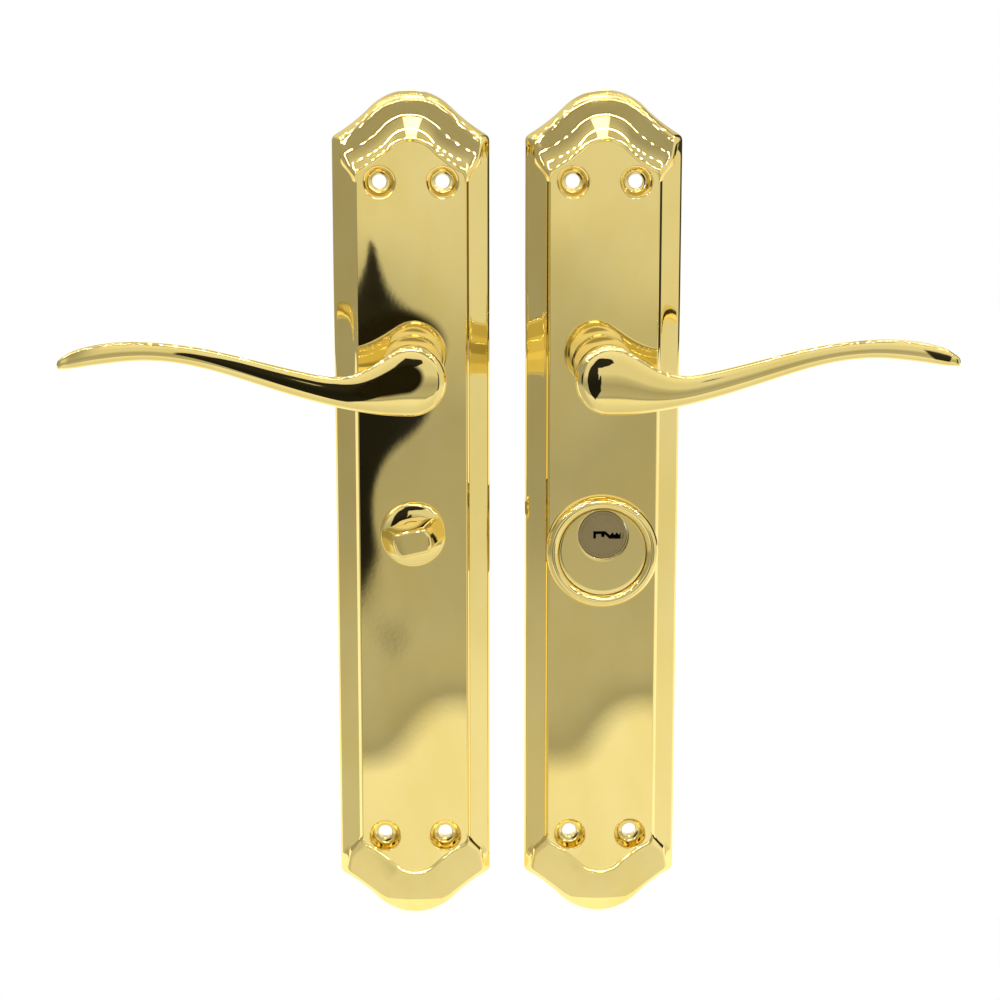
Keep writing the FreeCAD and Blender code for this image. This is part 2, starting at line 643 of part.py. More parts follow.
def arm_section(x, top, low, back, front, edge):
    """The arm across X: a flat front, two rounded edges and a half round back."""
    middle = (top + low) / 2
    half = (top - low) / 2
    edge = min(edge, half / 2, (front - back) / 4)
    belt = front - edge
    depth = belt - back

    def at(height, z):
        return Vector(x, -height, z)

    def corner(z, inward):
        near = edge * (1 - COSINE)
        return Part.Arc(at(belt, z), at(front - near, z + inward * near), at(front, z + inward * edge))

    upper = corner(top, -1)
    lower = corner(low, 1)
    flat = Part.LineSegment(at(front, top - edge), at(front, low + edge))
    across = Vector(0, 0, half)
    inwards = Vector(0, depth, 0)
    if half >= depth:
        whole = Part.Ellipse(at(belt, top), at(belt, middle) + inwards, at(belt, middle))
    else:
        whole = Part.Ellipse(at(belt, middle) + inwards, at(belt, middle) + across, at(belt, middle))
    ends = sorted(whole.parameter(at(belt, z)) for z in (top, low))
    for begin, end in (ends, (ends[1], ends[0] + 2 * math.pi)):
        back_run = Part.ArcOfEllipse(whole, begin, end)
        if back_run.value((begin + end) / 2).y > -belt:
            break
    return Part.Wire(Part.__sortEdges__([run.toShape() for run in (flat, upper, back_run, lower)]))


def arm_shape():
    reach = S.lever_reach.value
    rise = S.arm_rise.value
    thickness = S.arm_thickness.value
    middle = S.head_front.value - thickness * ARM_SET_BACK
    wires = []
    for share, top, low, back, front in STATIONS:
        ends = middle + back * thickness, middle + front * thickness
        wires.append(arm_section(share * reach, top * rise, low * rise, *ends, S.arm_edge.value))
    return Part.makeLoft(wires, True, False)


def neck_shape():
    """The round head, neck and turned shank, about the lever's axis."""
    foot = S.panel_height.value + S.neck_gap.value
    front = S.head_front.value
    head_back = front - S.head_depth.value
    head = S.head_radius.value
    neck = S.neck_radius.value
    waist = S.waist_radius.value
    shank = S.shank_radius.value
    tail = -S.shank_tail.value
    edge = S.arm_edge.value
    near = edge * (1 - COSINE)
    brow = front - S.head_dome.value
    neck_height = head_back - foot
    foot_top = foot + neck_height * NECK_FOOT_TOP
    shoulder = head_back + S.head_depth.value * NECK_SHOULDER

    def at(radius, height):
        return Vector(radius, -height, 0)

    side = Part.BSplineCurve()
    waist_low = at(waist, foot + neck_height * NECK_WAIST_LOW)
    waist_high = at(waist, foot + neck_height * NECK_WAIST_HIGH)
    side.interpolate([at(neck, foot_top), waist_low, waist_high, at(head, shoulder)])
    rim = Part.Arc(at(head, brow - edge), at(head - near, brow - near), at(head - edge, brow))
    # The dome is a piece of a sphere whose middle lies on the axis.
    ball = ((head - edge) ** 2 + (front - brow) ** 2) / (2 * (front - brow))
    half_way = ball * math.sin(math.asin((head - edge) / ball) / 2)
    half_height = front - ball + math.sqrt(ball**2 - half_way**2)
    dome = Part.Arc(at(head - edge, brow), at(half_way, half_height), at(0, front))
    runs = [
        Part.LineSegment(at(0, tail), at(shank, tail)),
        Part.LineSegment(at(shank, tail), at(shank, foot)),
        Part.LineSegment(at(shank, foot), at(neck, foot)),
        Part.LineSegment(at(neck, foot), at(neck, foot_top)),
        side,
        Part.LineSegment(at(head, shoulder), at(head, brow - edge)),
        rim,
        dome,
        Part.LineSegment(at(0, front), at(0, tail)),
    ]
    face = Part.Face(Part.Wire([run.toShape() for run in runs]))
    return face.revolve(Vector(), Vector(0, 1, 0), 360)


def block(size_x, low_height, high_height, size_z, x=0.0, z=0.0):
    """A box about x, z between two heights above the door."""
    corner = Vector(x - size_x / 2, -high_height, z - size_z / 2)
    return Part.makeBox(size_x, high_height - low_height, size_z, corner)


def lever_shape():
    """The whole lever of the outside unit, with its spindle socket, flats, clip groove and set screw hole."""
    lever = neck_shape().fuse(arm_shape())
    shank = S.shank_radius.value
    tail = -S.shank_tail.value
    socket = S.spindle_square.value + 2 * S.socket_clearance.value
    flats_top = (S.drive_plate_height + S.drive_plate_thickness + S.seat_gap).value
    groove_top = (S.drive_plate_height - S.seat_gap).value
    door_ward = Vector(0, 1, 0)
    spare = shank

    def round_bar(radius, high, length):
        return Part.makeCylinder(radius, length, Vector(0, -high, 0), door_ward)

    groove = round_bar(shank + spare, groove_top, S.clip_thickness.value)
    core = round_bar(shank - S.groove_depth.value, groove_top, S.clip_thickness.value)
    cuts = [block(socket, tail, S.socket_depth.value, socket), groove.cut(core)]
    for side in (1, -1):
        cuts.append(block(3 * shank, tail, flats_top, spare, z=side * (S.shank_flats_width.value + spare) / 2))
    grub_start = Vector(0, -S.grub_height.value, 0)
    cuts.append(Part.makeCylinder(S.grub_radius.value, S.neck_radius.value * 2, grub_start, Vector(0, 0, -1)))
    for cut in cuts:
        lever = lever.cut(cut)
    return lever


def finger_half_angle():
    """From the middle of the finger to the spring leg that rests on it, in degrees."""
    aside = (S.finger_width / 2 + S.spring_wire / 2 + S.seat_gap).value
    return math.degrees(math.asin(aside / (S.finger_reach - S.finger_gauge).value))


def leg_angles():
    """The moving and the fixed leg of the outside unit's spring at rest, in degrees."""
    moving = S.finger_angle.value - finger_half_angle()
    return moving, moving + 360 * S.spring_turns.value


def biarc(start, leaving, end, arriving):
    """Two arcs that join smoothly, from a point and direction to a point and direction."""
    chord = end - start
    both = leaving + arriving
    spread = 2 * (1 - leaving.dot(arriving))
    reach = (math.sqrt(chord.dot(both) ** 2 + spread * chord.dot(chord)) - chord.dot(both)) / spread
    first_corner = start + leaving * reach
    last_corner = end - arriving * reach
    joint = (first_corner + last_corner) / 2
    return [rounded(start, first_corner, joint), rounded(joint, last_corner, end)]


def rounded(start, corner, end):
    """The arc from start to end whose tangents meet in corner."""
    middle = (start + end) / 2
    half_chord = (end - start).Length / 2
    outward = corner - middle
    angle = math.atan2(outward.Length, half_chord)
    return Part.Arc(start, middle + outward.normalize() * (half_chord * math.tan(angle / 2)), end)


def spring_path():
    """Leg, bend, coil, bend and leg, all on arcs, about the lever's axis."""
    radius = S.spring_radius.value
    bend = S.leg_bend.value
    moving, fixed = (math.radians(angle) for angle in leg_angles())
    offset = math.asin(bend / (radius + bend))
    top = (panel_back - S.bush_flange_thickness - S.seat_gap - S.spring_wire / 2).value
    sweep = fixed - moving - 2 * offset
    steps = math.ceil(sweep / (math.pi / 2))
    slope = S.spring_pitch.value / (2 * math.pi)
    ease = sweep / steps / 3
    low = top - slope * (sweep - ease)

    def at(reach, angle, height):
        return Vector(reach * math.cos(angle), -height, reach * math.sin(angle))

    def coil(step):
        angle = moving + offset + sweep * step / steps
        level = step in (0, steps)
        height = low + slope * (sweep * step / steps - ease / 2)
        height = {0: low, steps: top}.get(step, height)
        along = Vector(-math.sin(angle), 0 if level else -slope / radius, math.cos(angle))
        return at(radius, angle, height), along.normalize()

    runs = []
    straight = math.sqrt((radius + bend) ** 2 - bend**2)
    for leg, turn, height in ((moving, 1, low), (fixed, -1, top)):
        centre = at(radius + bend, leg + turn * offset, height)
        on_leg = at(straight, leg, height)
        on_coil = at(radius, leg + turn * offset, height)
        towards = ((on_leg + on_coil) / 2 - centre).normalize()
        line = Part.LineSegment(at(S.leg_reach.value, leg, height), on_leg)
        curve = Part.Arc(on_leg, centre + towards * bend, on_coil)
        if turn > 0:
            runs += [line, curve]
            for step in range(steps):
                runs += biarc(*coil(step), *coil(step + 1))
        else:
            runs += [Part.Arc(on_coil, centre + towards * bend, on_leg)]
            runs += [Part.LineSegment(on_leg, at(S.leg_reach.value, leg, height))]
    return runs


def spring_shape():
    """The return spring of the outside unit as one tube, and the least gap between its turns."""
    runs = spring_path()
    wire = S.spring_wire.value
    path = Part.Wire([run.toShape() for run in runs])
    start = runs[0].StartPoint
    ring = Part.Wire([Part.Circle(start, runs[0].EndPoint - start, wire / 2).toShape()])
    points = path.discretize(Number=900)
    step = path.Length / (len(points) - 1)
    apart = math.ceil(math.pi * S.spring_radius.value / step)
    gaps = []
    for index, point in enumerate(points):
        gaps += [(point - other).Length for other in points[index + apart :]]
    print(f"return spring: {S.spring_turns.value} turns, least gap {min(gaps) - wire:.2f} mm")
    return path.makePipeShell([ring], True, False)


def retaining_ring(label, inner, outer, high, x, z, angle=0):
    """An open ring in the groove of a turned stem. Its mouth looks down."""
    body = new_body(label, x, z, angle)
    Drawing(body, "ring", height=high - S.clip_thickness).circle(0, 0, outer).circle(0, 0, inner).pad(
        "ring_pad", S.clip_thickness
    )
    mouth = Drawing(body, "mouth", height=high)
    mouth.box(0, -(inner + outer) / 2, S.clip_mouth, outer)
    mouth.pocket("mouth_cut", S.clip_thickness)
    return body


def square_bar(label, side, front, length, x, z, angle=0):
    body = new_body(label, x, z, angle)
    Drawing(body, "square", height=front - length).box(0, 0, side, side).pad("bar", length)
    return body


def lever_unit(unit, x, hand, lever, spring):
    """What stands on and under a plate at the lever. Hand is 1 outside and -1 for the mirror image inside."""

    def turned_to(angle):
        return angle if hand > 0 else 180 - angle

    def mirrored(shape):
        return shape.copy() if hand > 0 else shape.mirror(Vector(), Vector(1, 0, 0))

    plain(f"{unit}_lever", mirrored(lever), x, lever_z)

    bore = S.shank_radius + S.running_clearance
    sleeve = bore + S.bush_wall
    flange_back = panel_back - S.bush_flange_thickness
    sleeve_front = S.panel_height + S.neck_gap - S.seat_gap
    section = [(bore, flange_back), (S.bush_flange_radius, flange_back), (S.bush_flange_radius, panel_back)]
    section += [(sleeve, panel_back), (sleeve, sleeve_front), (bore, sleeve_front)]
    turned(f"{unit}_bush", section, x, lever_z)

    cup_inside = S.cup_radius - S.cup_wall
    cup_hole = S.bush_flange_radius + S.seat_gap
    cup_floor = panel_back - S.cup_wall
    section = [(cup_hole, cup_floor), (cup_inside, cup_floor), (cup_inside, S.cup_height)]
    section += [(S.cup_radius, S.cup_height), (S.cup_radius, panel_back), (cup_hole, panel_back)]
    cup = turned(f"{unit}_spring_cup", section, x, lever_z)
    lugs = Drawing(cup, "lugs", height=S.lug_height)
    beside_leg = math.degrees((S.lug_width + S.spring_wire).value / 2 / S.lug_reach.value)
    beside_finger = math.degrees((S.lug_width + S.finger_width).value / 2 / S.lug_reach.value)
    play = math.degrees(S.neck_gap.value / S.lug_reach.value)
    fixed_lug = leg_angles()[1] - beside_leg - play
    upper_stop = S.finger_angle.value + beside_finger + play
    lower_stop = S.finger_angle.value - S.travel_angle.value - beside_finger - play
    for angle in (fixed_lug, upper_stop, lower_stop):
        lugs.spoke(turned_to(angle), S.lug_reach, cup_inside + S.cup_wall / 2, S.lug_width)
    lugs.pad("lug_pads", panel_back - S.cup_wall / 2 - S.lug_height)

    plain(f"{unit}_spring", mirrored(spring), x, lever_z)

    drive_plate = new_body(f"{unit}_drive_plate", x, lever_z)
    disc = Drawing(drive_plate, "disc", height=S.drive_plate_height)
    disc.circle(0, 0, S.drive_plate_radius)
    disc.flatted_round(bore, S.shank_flats_width + 2 * S.running_clearance)
    disc.pad("disc_pad", S.drive_plate_thickness)
    arm = Drawing(drive_plate, "arm", height=S.drive_plate_height)
    finger_angle = turned_to(S.finger_angle.value)
    arm.spoke(finger_angle, bore + S.bush_wall, S.finger_reach, S.finger_width)
    arm.pad("arm_pad", S.drive_plate_thickness)
    finger = Drawing(drive_plate, "finger", height=S.drive_plate_height)
    finger.spoke(finger_angle, S.finger_reach - S.finger_gauge, S.finger_reach, S.finger_width)
    finger.pad("finger_pad", S.finger_height - S.drive_plate_height)

    groove = S.shank_radius - S.groove_depth
    clip_front = S.drive_plate_height - S.seat_gap
    retaining_ring(f"{unit}_clip", groove, groove + S.clip_width, clip_front, x, lever_z)

    grub_top = S.spindle_square / 2 + S.socket_clearance
    grub = new_body(f"{unit}_grub_screw", x, lever_z - grub_top)
    Drawing(grub, "round", "XY_Plane").circle(0, S.grub_height, S.grub_radius).pad("thread", S.grub_length)
    key = Drawing(grub, "key", "XY_Plane", height=S.grub_length)
    key.hexagon(0, S.grub_height, S.hex_key)
    key.pocket("key_socket", S.hex_depth)


lever = lever_shape()
spring = spring_shape()
lever_unit("outside", 0, 1, lever, spring)
lever_unit("inside", inside_x, -1, lever, spring)
square_bar("spindle", S.spindle_square, S.spindle_front, S.spindle_length, 0, lever_z)

# The cylinder guard: ring, cover disc, and the bridge with two screws that holds them from behind.
disc_radius = S.ring_radius - S.ring_bead
bead_middle = S.panel_height + S.ring_rise - S.ring_bead / 2
section = [(0, S.panel_height), (S.ring_radius, S.panel_height), (S.ring_radius, bead_middle, "round")]
section += [(disc_radius, bead_middle), (disc_radius, ring_floor), (0, ring_floor)]
guard_ring = turned("guard_ring", section, 0, ring_z)
slot = Drawing(guard_ring, "slot", height=ring_floor)
slot.lock_profile(S.profile_clearance, up=S.ring_drop)
slot.pocket("slot_cut", S.floor_thickness)
threads = Drawing(guard_ring, "threads", height=S.panel_height + S.guard_screw_bite)
for across in screw_sides:
    threads.circle(across, -S.guard_screw_down, S.guard_screw_radius)
threads.pocket("thread_holes", S.guard_screw_bite)

cover_disc = new_body("cover_disc", 0, ring_z)
face = Drawing(cover_disc, "face", height=ring_floor)
face.circle(0, 0, disc_radius - S.disc_gap).circle(0, S.ring_drop, S.disc_hole_radius)
face.pad("face_pad", S.disc_thickness)

bridge_back = panel_back - S.bridge_thickness
guard_bridge = new_body("guard_bridge", 0, ring_z)
sheet_steel = Drawing(guard_bridge, "sheet", height=bridge_back)
sheet_steel.box(0, 0, S.bridge_width, S.bridge_length)
for across in screw_sides:
    sheet_steel.circle(across, -S.guard_screw_down, S.guard_screw_radius + S.disc_gap)
sheet_steel.pad("sheet_pad", S.bridge_thickness)
bridge_slot = Drawing(guard_bridge, "slot", height=panel_back)
bridge_slot.lock_profile(S.profile_clearance, up=S.ring_drop)
bridge_slot.pocket("slot_cut", S.bridge_thickness)

for side, across in zip(("right", "left"), screw_sides):
    tip = S.panel_height + S.guard_screw_bite
    head = bridge_back - S.guard_screw_head_height
    section = [(0, head), (S.guard_screw_head_radius, head), (S.guard_screw_head_radius, bridge_back)]
    section += [(S.guard_screw_radius, bridge_back), (S.guard_screw_radius, tip), (0, tip)]
    turned(f"guard_screw_{side}", section, across, ring_z - S.guard_screw_down)

# The profile cylinder. Its plug turns with the cam, and its pins stand below the plug.
cam_middle = S.barrel_front_length - S.barrel_front
slot_front = cam_middle - S.cam_slot / 2
cylinder_back = cam_middle + S.barrel_back_length
profile_front = ring_floor - S.seat_gap
web_low = S.web_depth + S.web_width / 2
plug_bore = S.plug_radius + S.running_clearance
tail_bore = S.plug_tail_radius + S.running_clearance
clip_back = slot_front + S.seat_gap + S.clip_thickness
pin_places = [S.barrel_front - S.first_pin - S.pin_pitch * i for i in range(PIN_COUNT)]

cylinder = new_body("cylinder_body", 0, plug_z)
profile = Drawing(cylinder, "profile", height=-cylinder_back)
profile.lock_profile(0).pad("profile_pad", profile_front + cylinder_back)
nose = Drawing(cylinder, "nose", height=profile_front - S.nose_lap)
nose.circle(0, 0, S.barrel_radius).pad("nose_pad", S.barrel_front - profile_front + S.nose_lap)
bore = Drawing(cylinder, "plug_bore", height=S.barrel_front)
bore.circle(0, 0, plug_bore).pocket("plug_bore_cut", S.barrel_front + cam_middle)
seat = Drawing(cylinder, "flange_seat", height=S.barrel_front)
seat.circle(0, 0, S.plug_head_radius + S.running_clearance)
seat.pocket("flange_seat_cut", S.plug_head_thickness + S.seat_gap)
tail_hole = Drawing(cylinder, "tail_bore", height=-cam_middle)
tail_hole.circle(0, 0, tail_bore).pocket("tail_bore_cut", S.barrel_back_length)
cam_slot = Drawing(cylinder, "cam_slot", height=-slot_front)
slot_length = S.cam_slot_depth + S.barrel_radius * 2
cam_slot.box(0, S.barrel_radius * 2 - slot_length / 2, S.barrel_radius * 3, slot_length)
cam_slot.pocket("cam_slot_cut", S.cam_slot)
fixing = Drawing(cylinder, "fixing_hole", "YZ_Plane", height=S.web_width)
fixing.circle(cam_middle, -S.fixing_hole_drop, S.fixing_hole_radius)
fixing.pocket("fixing_hole_cut", S.web_width * 2)
chambers = Drawing(cylinder, "chambers", "XY_Plane", height=web_low)
for place in pin_places:
    chambers.circle(0, place, S.pin_bore_radius)
chambers.pocket("chamber_cuts", web_low - S.plug_radius / 2)

section = [(0, -cylinder_back), (S.plug_tail_radius, -cylinder_back), (S.plug_tail_radius, -clip_back)]
section += [(S.plug_radius, -clip_back), (S.plug_radius, S.barrel_front - S.plug_head_thickness)]
section += [(S.plug_head_radius, S.barrel_front - S.plug_head_thickness)]
section += [(S.plug_head_radius, S.barrel_front), (0, S.barrel_front)]
plug = turned("cylinder_plug", section, 0, plug_z)
keyway = Drawing(plug, "keyway", height=S.barrel_front)
keyway.outline([(S.keyway_width * x - S.keyway_start, S.keyway_height * y) for x, y in KEYWAY])
keyway.pocket("keyway_cut", S.keyway_depth)
pin_holes = Drawing(plug, "pin_holes", "XY_Plane", height=S.plug_head_radius)
for place in pin_places:
    pin_holes.circle(0, place, S.pin_bore_radius)
pin_holes.pocket("pin_hole_cuts", S.plug_head_radius - S.keyway_height / 4)
groove_front = -slot_front - S.seat_gap
groove_radius = S.plug_radius - S.groove_depth
groove = Drawing(plug, "groove", height=groove_front)
groove.circle(0, 0, S.plug_head_radius).circle(0, 0, groove_radius)
groove.pocket("groove_cut", S.clip_thickness)
retaining_ring("plug_clip", groove_radius, groove_radius + S.clip_width, groove_front, 0, plug_z, 180)

cam_back = clip_back + S.seat_gap + S.cam_width
cam = new_body("cam", 0, plug_z)
hub = Drawing(cam, "hub", height=-cam_back)
hub.circle(0, 0, S.cam_hub_radius).circle(0, 0, tail_bore).pad("hub_pad", S.cam_width)
cam_nose = Drawing(cam, "nose", height=-cam_back)
cam_nose.spoke(-90 - S.cam_angle.value, tail_bore + S.groove_depth, S.cam_reach, S.cam_nose_width)
cam_nose.pad("nose_pad", S.cam_width)


def upright_pin(label, place, radius, top, length):
    """A round piece in a chamber, its upper end that far below the plug axis."""
    body = new_body(label, 0, plug_z - top)
    Drawing(body, "round", "XY_Plane").circle(0, place, radius).pad("length", length)


key_pin_top = S.plug_radius - S.pin_gap - S.key_pin_length
driver_top = plug_bore + S.pin_gap
spring_top = driver_top + S.driver_pin_length
stopper_top = web_low - S.pin_gap * 2 - S.stopper_length
for number, place in enumerate(pin_places, 1):
    upright_pin(f"key_pin_{number}", place, S.pin_radius, key_pin_top, S.key_pin_length)
    upright_pin(f"driver_pin_{number}", place, S.pin_radius, driver_top, S.driver_pin_length)
    upright_pin(f"pin_spring_{number}", place, S.pin_spring_radius, spring_top, stopper_top - spring_top)
    upright_pin(f"chamber_stopper_{number}", place, S.pin_bore_radius, stopper_top, S.stopper_length)

# The thumbturn: a grip with a stem through its foot, bush and washer, held by a retaining ring.
stem_bore = S.stem_radius + S.running_clearance
foot_front = S.panel_height + S.foot_rise
section = [(stem_bore, S.panel_height), (S.foot_radius, S.panel_height)]
section += [(S.foot_radius, foot_front - S.grip_edge), (S.foot_radius - S.grip_edge, foot_front)]
section += [(stem_bore, foot_front)]
turned("turn_foot", section, inside_x, plug_z)

grip_back = foot_front + S.seat_gap
grip_front = S.panel_height + S.grip_rise
section = [(0, S.stem_back), (S.stem_radius, S.stem_back), (S.stem_radius, grip_back)]
section += [(S.grip_root_radius, grip_back), (S.grip_waist_radius, S.panel_height + S.grip_waist_rise)]
section += [(S.grip_front_radius, grip_front - S.grip_edge), (S.grip_front_radius - S.grip_edge, grip_front)]
section += [(0, grip_front)]
grip = turned("thumbturn", section, inside_x, plug_z, S.turn_angle)
flats = Drawing(grip, "flats", height=grip_front)
for side in (1, -1):
    middle = (S.grip_thickness + S.grip_root_radius) / 2 * side
    flats.box(0, middle, S.grip_root_radius * 3, S.grip_root_radius)
flats.pocket("flat_cuts", grip_front - grip_back)
socket = Drawing(grip, "socket", height=S.turn_bar_bite + S.seat_gap)
socket_side = S.turn_square + 2 * S.socket_clearance
socket.box(0, 0, socket_side, socket_side).pocket("socket_cut", S.turn_bar_bite)
bush_back = panel_back - S.bush_flange_thickness
washer_back = bush_back - S.seat_gap - S.turn_washer_thickness
stem_groove = S.stem_radius - S.stem_groove_depth
clip_groove = Drawing(grip, "groove", height=washer_back)
clip_groove.circle(0, 0, S.stem_radius + S.groove_depth).circle(0, 0, stem_groove)
clip_groove.pocket("groove_cut", S.clip_thickness)

square_bar("turn_bar", S.turn_square, S.turn_bar_bite, S.turn_bar_length, inside_x, plug_z, S.turn_angle)
sleeve = stem_bore + S.turn_bush_wall
section = [(stem_bore, bush_back), (S.turn_bush_flange_radius, bush_back)]
section += [(S.turn_bush_flange_radius, panel_back), (sleeve, panel_back)]
section += [(sleeve, S.panel_height), (stem_bore, S.panel_height)]
turned("turn_bush", section, inside_x, plug_z)
section = [(stem_bore, washer_back), (S.turn_washer_radius, washer_back)]
section += [(S.turn_washer_radius, bush_back - S.seat_gap), (stem_bore, bush_back - S.seat_gap)]
turned("turn_washer", section, inside_x, plug_z)
retaining_ring("turn_clip", stem_groove, stem_groove + S.clip_width, washer_back, inside_x, plug_z, S.turn_angle)

doc.recompute()
for item in doc.Objects:
    if "Invalid" in item.State or "Error" in item.State:
        raise SystemExit(f"{item.Name} is not sound: {item.State}")

PIECE_KINDS = ("PartDesign::Body", "Part::Feature")
pieces = [item for item in doc.Objects if item.TypeId in PIECE_KINDS]
os.makedirs("parts", exist_ok=True)
for piece in pieces:
    shape = piece.Shape
    if shape.isNull() or not shape.isValid() or len(shape.Solids) != 1:
        raise SystemExit(f"{piece.Label} is not one valid solid")
for piece in pieces:
    piece.Shape.exportStep(f"parts/{piece.Label}.step")
print(f"{len(pieces)} pieces")
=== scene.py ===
import math

import bmesh
import bpy
from mathutils import Matrix, Vector, geometry


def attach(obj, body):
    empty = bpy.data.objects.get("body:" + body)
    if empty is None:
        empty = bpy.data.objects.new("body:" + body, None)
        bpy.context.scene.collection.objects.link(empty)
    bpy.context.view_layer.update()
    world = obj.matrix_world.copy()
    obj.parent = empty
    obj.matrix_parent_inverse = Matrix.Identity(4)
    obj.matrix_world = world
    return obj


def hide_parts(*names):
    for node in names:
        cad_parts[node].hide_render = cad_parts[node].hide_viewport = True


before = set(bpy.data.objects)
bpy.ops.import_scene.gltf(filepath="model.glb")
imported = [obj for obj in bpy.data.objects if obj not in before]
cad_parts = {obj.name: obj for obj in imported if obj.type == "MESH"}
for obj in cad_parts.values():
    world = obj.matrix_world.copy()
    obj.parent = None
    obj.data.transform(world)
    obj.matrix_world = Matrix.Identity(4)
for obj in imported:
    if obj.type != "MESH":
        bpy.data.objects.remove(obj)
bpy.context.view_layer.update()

# The photograph's view: a short telephoto a little above the levers, with both units side by side.
# Target, distance and angles come from the plates' corners and screw holes in the picture.
target = Vector((-0.0363, 0.0, 0.0046))
distance = 0.85
elevation = math.radians(10.7)
azimuth = math.radians(-1.5)
eye_way = Vector((
    math.cos(elevation) * math.sin(azimuth),
    -math.cos(elevation) * math.cos(azimuth),
    math.sin(elevation),
))
camera_data = bpy.data.cameras.new("camera")
camera_data.sensor_width = 36.0
camera_data.lens = 85.1
camera = bpy.data.objects.new("camera", camera_data)
camera.location = target + distance * eye_way
camera.rotation_euler = (-eye_way).to_track_quat("-Z", "Y").to_euler()
bpy.context.scene.collection.objects.link(camera)
bpy.context.scene.camera = camera


# The back plates. Each is pressed from brass sheet into a hollow shell with ogee ends, a hood at each end and
# a raised panel between, then polished and lacquered. Four stamped dishes with drawn collars take the screws.
# Lengths are in millimetres: across, height above the door, and up.
MM = 0.001
plate_half_width = 27.5
plate_half_length = 150.0
shoulder_drop = 16.0
corner_round = 1.7
inside_x = -67.5
lever_z = 54.0
plug_z = -6.0
panel_height = 8.0
sheet_gauge = 1.2
crown_angle = math.radians(45)
screw_across, screw_along = 11.0, 118.5
# The length in which the hood's height and inset go over into the long side's.
hip_run = 1.6
crease_steps, crown_steps, flank_steps, corner_steps = 5, 14, 16, 6
# The hood's height, inset, drop at the apex, drop at the corner and crown radius, then the long side's height
# and inset, how far the hood's values run on below the corner, and the share of each run that its crease
# rounds off.
relief_rows = [
    (0.0, 0.0, 0.0, 0.0, 20.0, 0.0, 0.0, 0.0, 0.0),
    (1.9, 0.0, 0.0, 0.0, 20.0, 1.9, 0.0, 0.0, 0.30),
    (4.4, 2.6, 1.3, 0.8, 18.6, 3.0, 0.8, 5.6, 0.25),
    (5.8, 3.8, 8.8, 6.6, 15.0, 4.6, 3.6, 0.7, 0.18),
    (7.0, 6.0, 13.0, 9.6, 12.4, 6.2, 6.5, 0.4, 0.55),
    (8.5, 8.0, 16.5, 11.9, 10.5, 6.5, 7.3, 0.2, 0.25),
    (8.4, 8.3, 16.9, 12.4, 10.2, 7.8, 8.2, 0.0, 0.40),
    (8.0, 8.6, 17.4, 12.8, 9.9, 8.0, 8.6, 0.0, 0.45),
    (8.0, 8.75, 17.65, 13.0, 9.75, 8.0, 8.75, 0.0, 0.0),
]
# How far below the corner the long side has points, close together where its creases turn in.
below_corner = [0.3 * step for step in range(1, 11)] + [0.6 * step + 3.0 for step in range(1, 10)]
below_corner += [9.5, 12.0, 20.0, 35.0, 55.0, 80.0, 105.0]


def smooth_step(value):
    value = min(max(value, 0.0), 1.0)
    return value * value * (3 - 2 * value)


def softened(rows):
    """The rows with each inner one rounded off by a quadratic curve through its neighbours' runs."""
    made = [rows[0][:-1]]
    for before, row, after in zip(rows, rows[1:], rows[2:]):
        share = row[-1]
        start = [r + (b - r) * share for r, b in zip(row[:-1], before)]
        end = [r + (a - r) * share for r, a in zip(row[:-1], after)]
        for step in range(crease_steps + 1):
            t = step / crease_steps
            runs = zip(start, row, end)
            made.append([s * (1 - t) ** 2 + 2 * r * t * (1 - t) + e * t * t for s, r, e in runs])
    made.append(rows[-1][:-1])
    return made


def ogee_quarter(height, inset, drop, corner_drop, crown, side_height, side_inset, hold):
    """Points from the apex over crown and flank, round the corner and down the long side to its middle."""
    hood_side = plate_half_width - inset
    apex = plate_half_length - drop
    corner = Vector((hood_side, plate_half_length - shoulder_drop - corner_drop))
    points = []
    for step in range(crown_steps + 1):
        angle = crown_angle * step / crown_steps
        points.append((crown * math.sin(angle), height, apex - crown * (1 - math.cos(angle))))
    joint = Vector((points[-1][0], points[-1][2]))
    normal = Vector((math.sin(crown_angle), math.cos(crown_angle)))
    chord = corner - joint
    radius = chord.dot(chord) / (2 * chord.dot(normal))
    centre = joint + normal * radius
    sweep = 2 * math.asin(chord.length / (2 * radius))
    flank_share = 1 - corner_round / (radius * sweep)
    for step in range(1, flank_steps + 1):
        turned = Matrix.Rotation(sweep * flank_share * step / flank_steps, 2) @ (joint - centre)
        points.append((centre.x + turned.x, height, centre.y + turned.y))
    start = Vector((points[-1][0], points[-1][2]))
    end = corner - Vector((0, corner_round))
    for step in range(1, corner_steps + 1):
        t = step / corner_steps
        bend = start * (1 - t) ** 2 + corner * (2 * t * (1 - t)) + end * t * t
        points.append((bend.x, height, bend.y))
    for below in below_corner:
        share = smooth_step((below - max(hold - corner_round, 0.0)) / hip_run)
        across = hood_side + (inset - side_inset) * share
        points.append((across, height + (side_height - height) * share, end.y - below))
    points.append((plate_half_width - side_inset, side_height, 0.0))
    return points


def ogee_ring(row):
    """The whole outline, clockwise from the top apex as seen from the front."""
    quarter = ogee_quarter(*row)
    right = quarter + [(x, height, -z) for x, height, z in reversed(quarter[:-1])]
    return right + [(-x, height, z) for x, height, z in reversed(right[1:-1])]


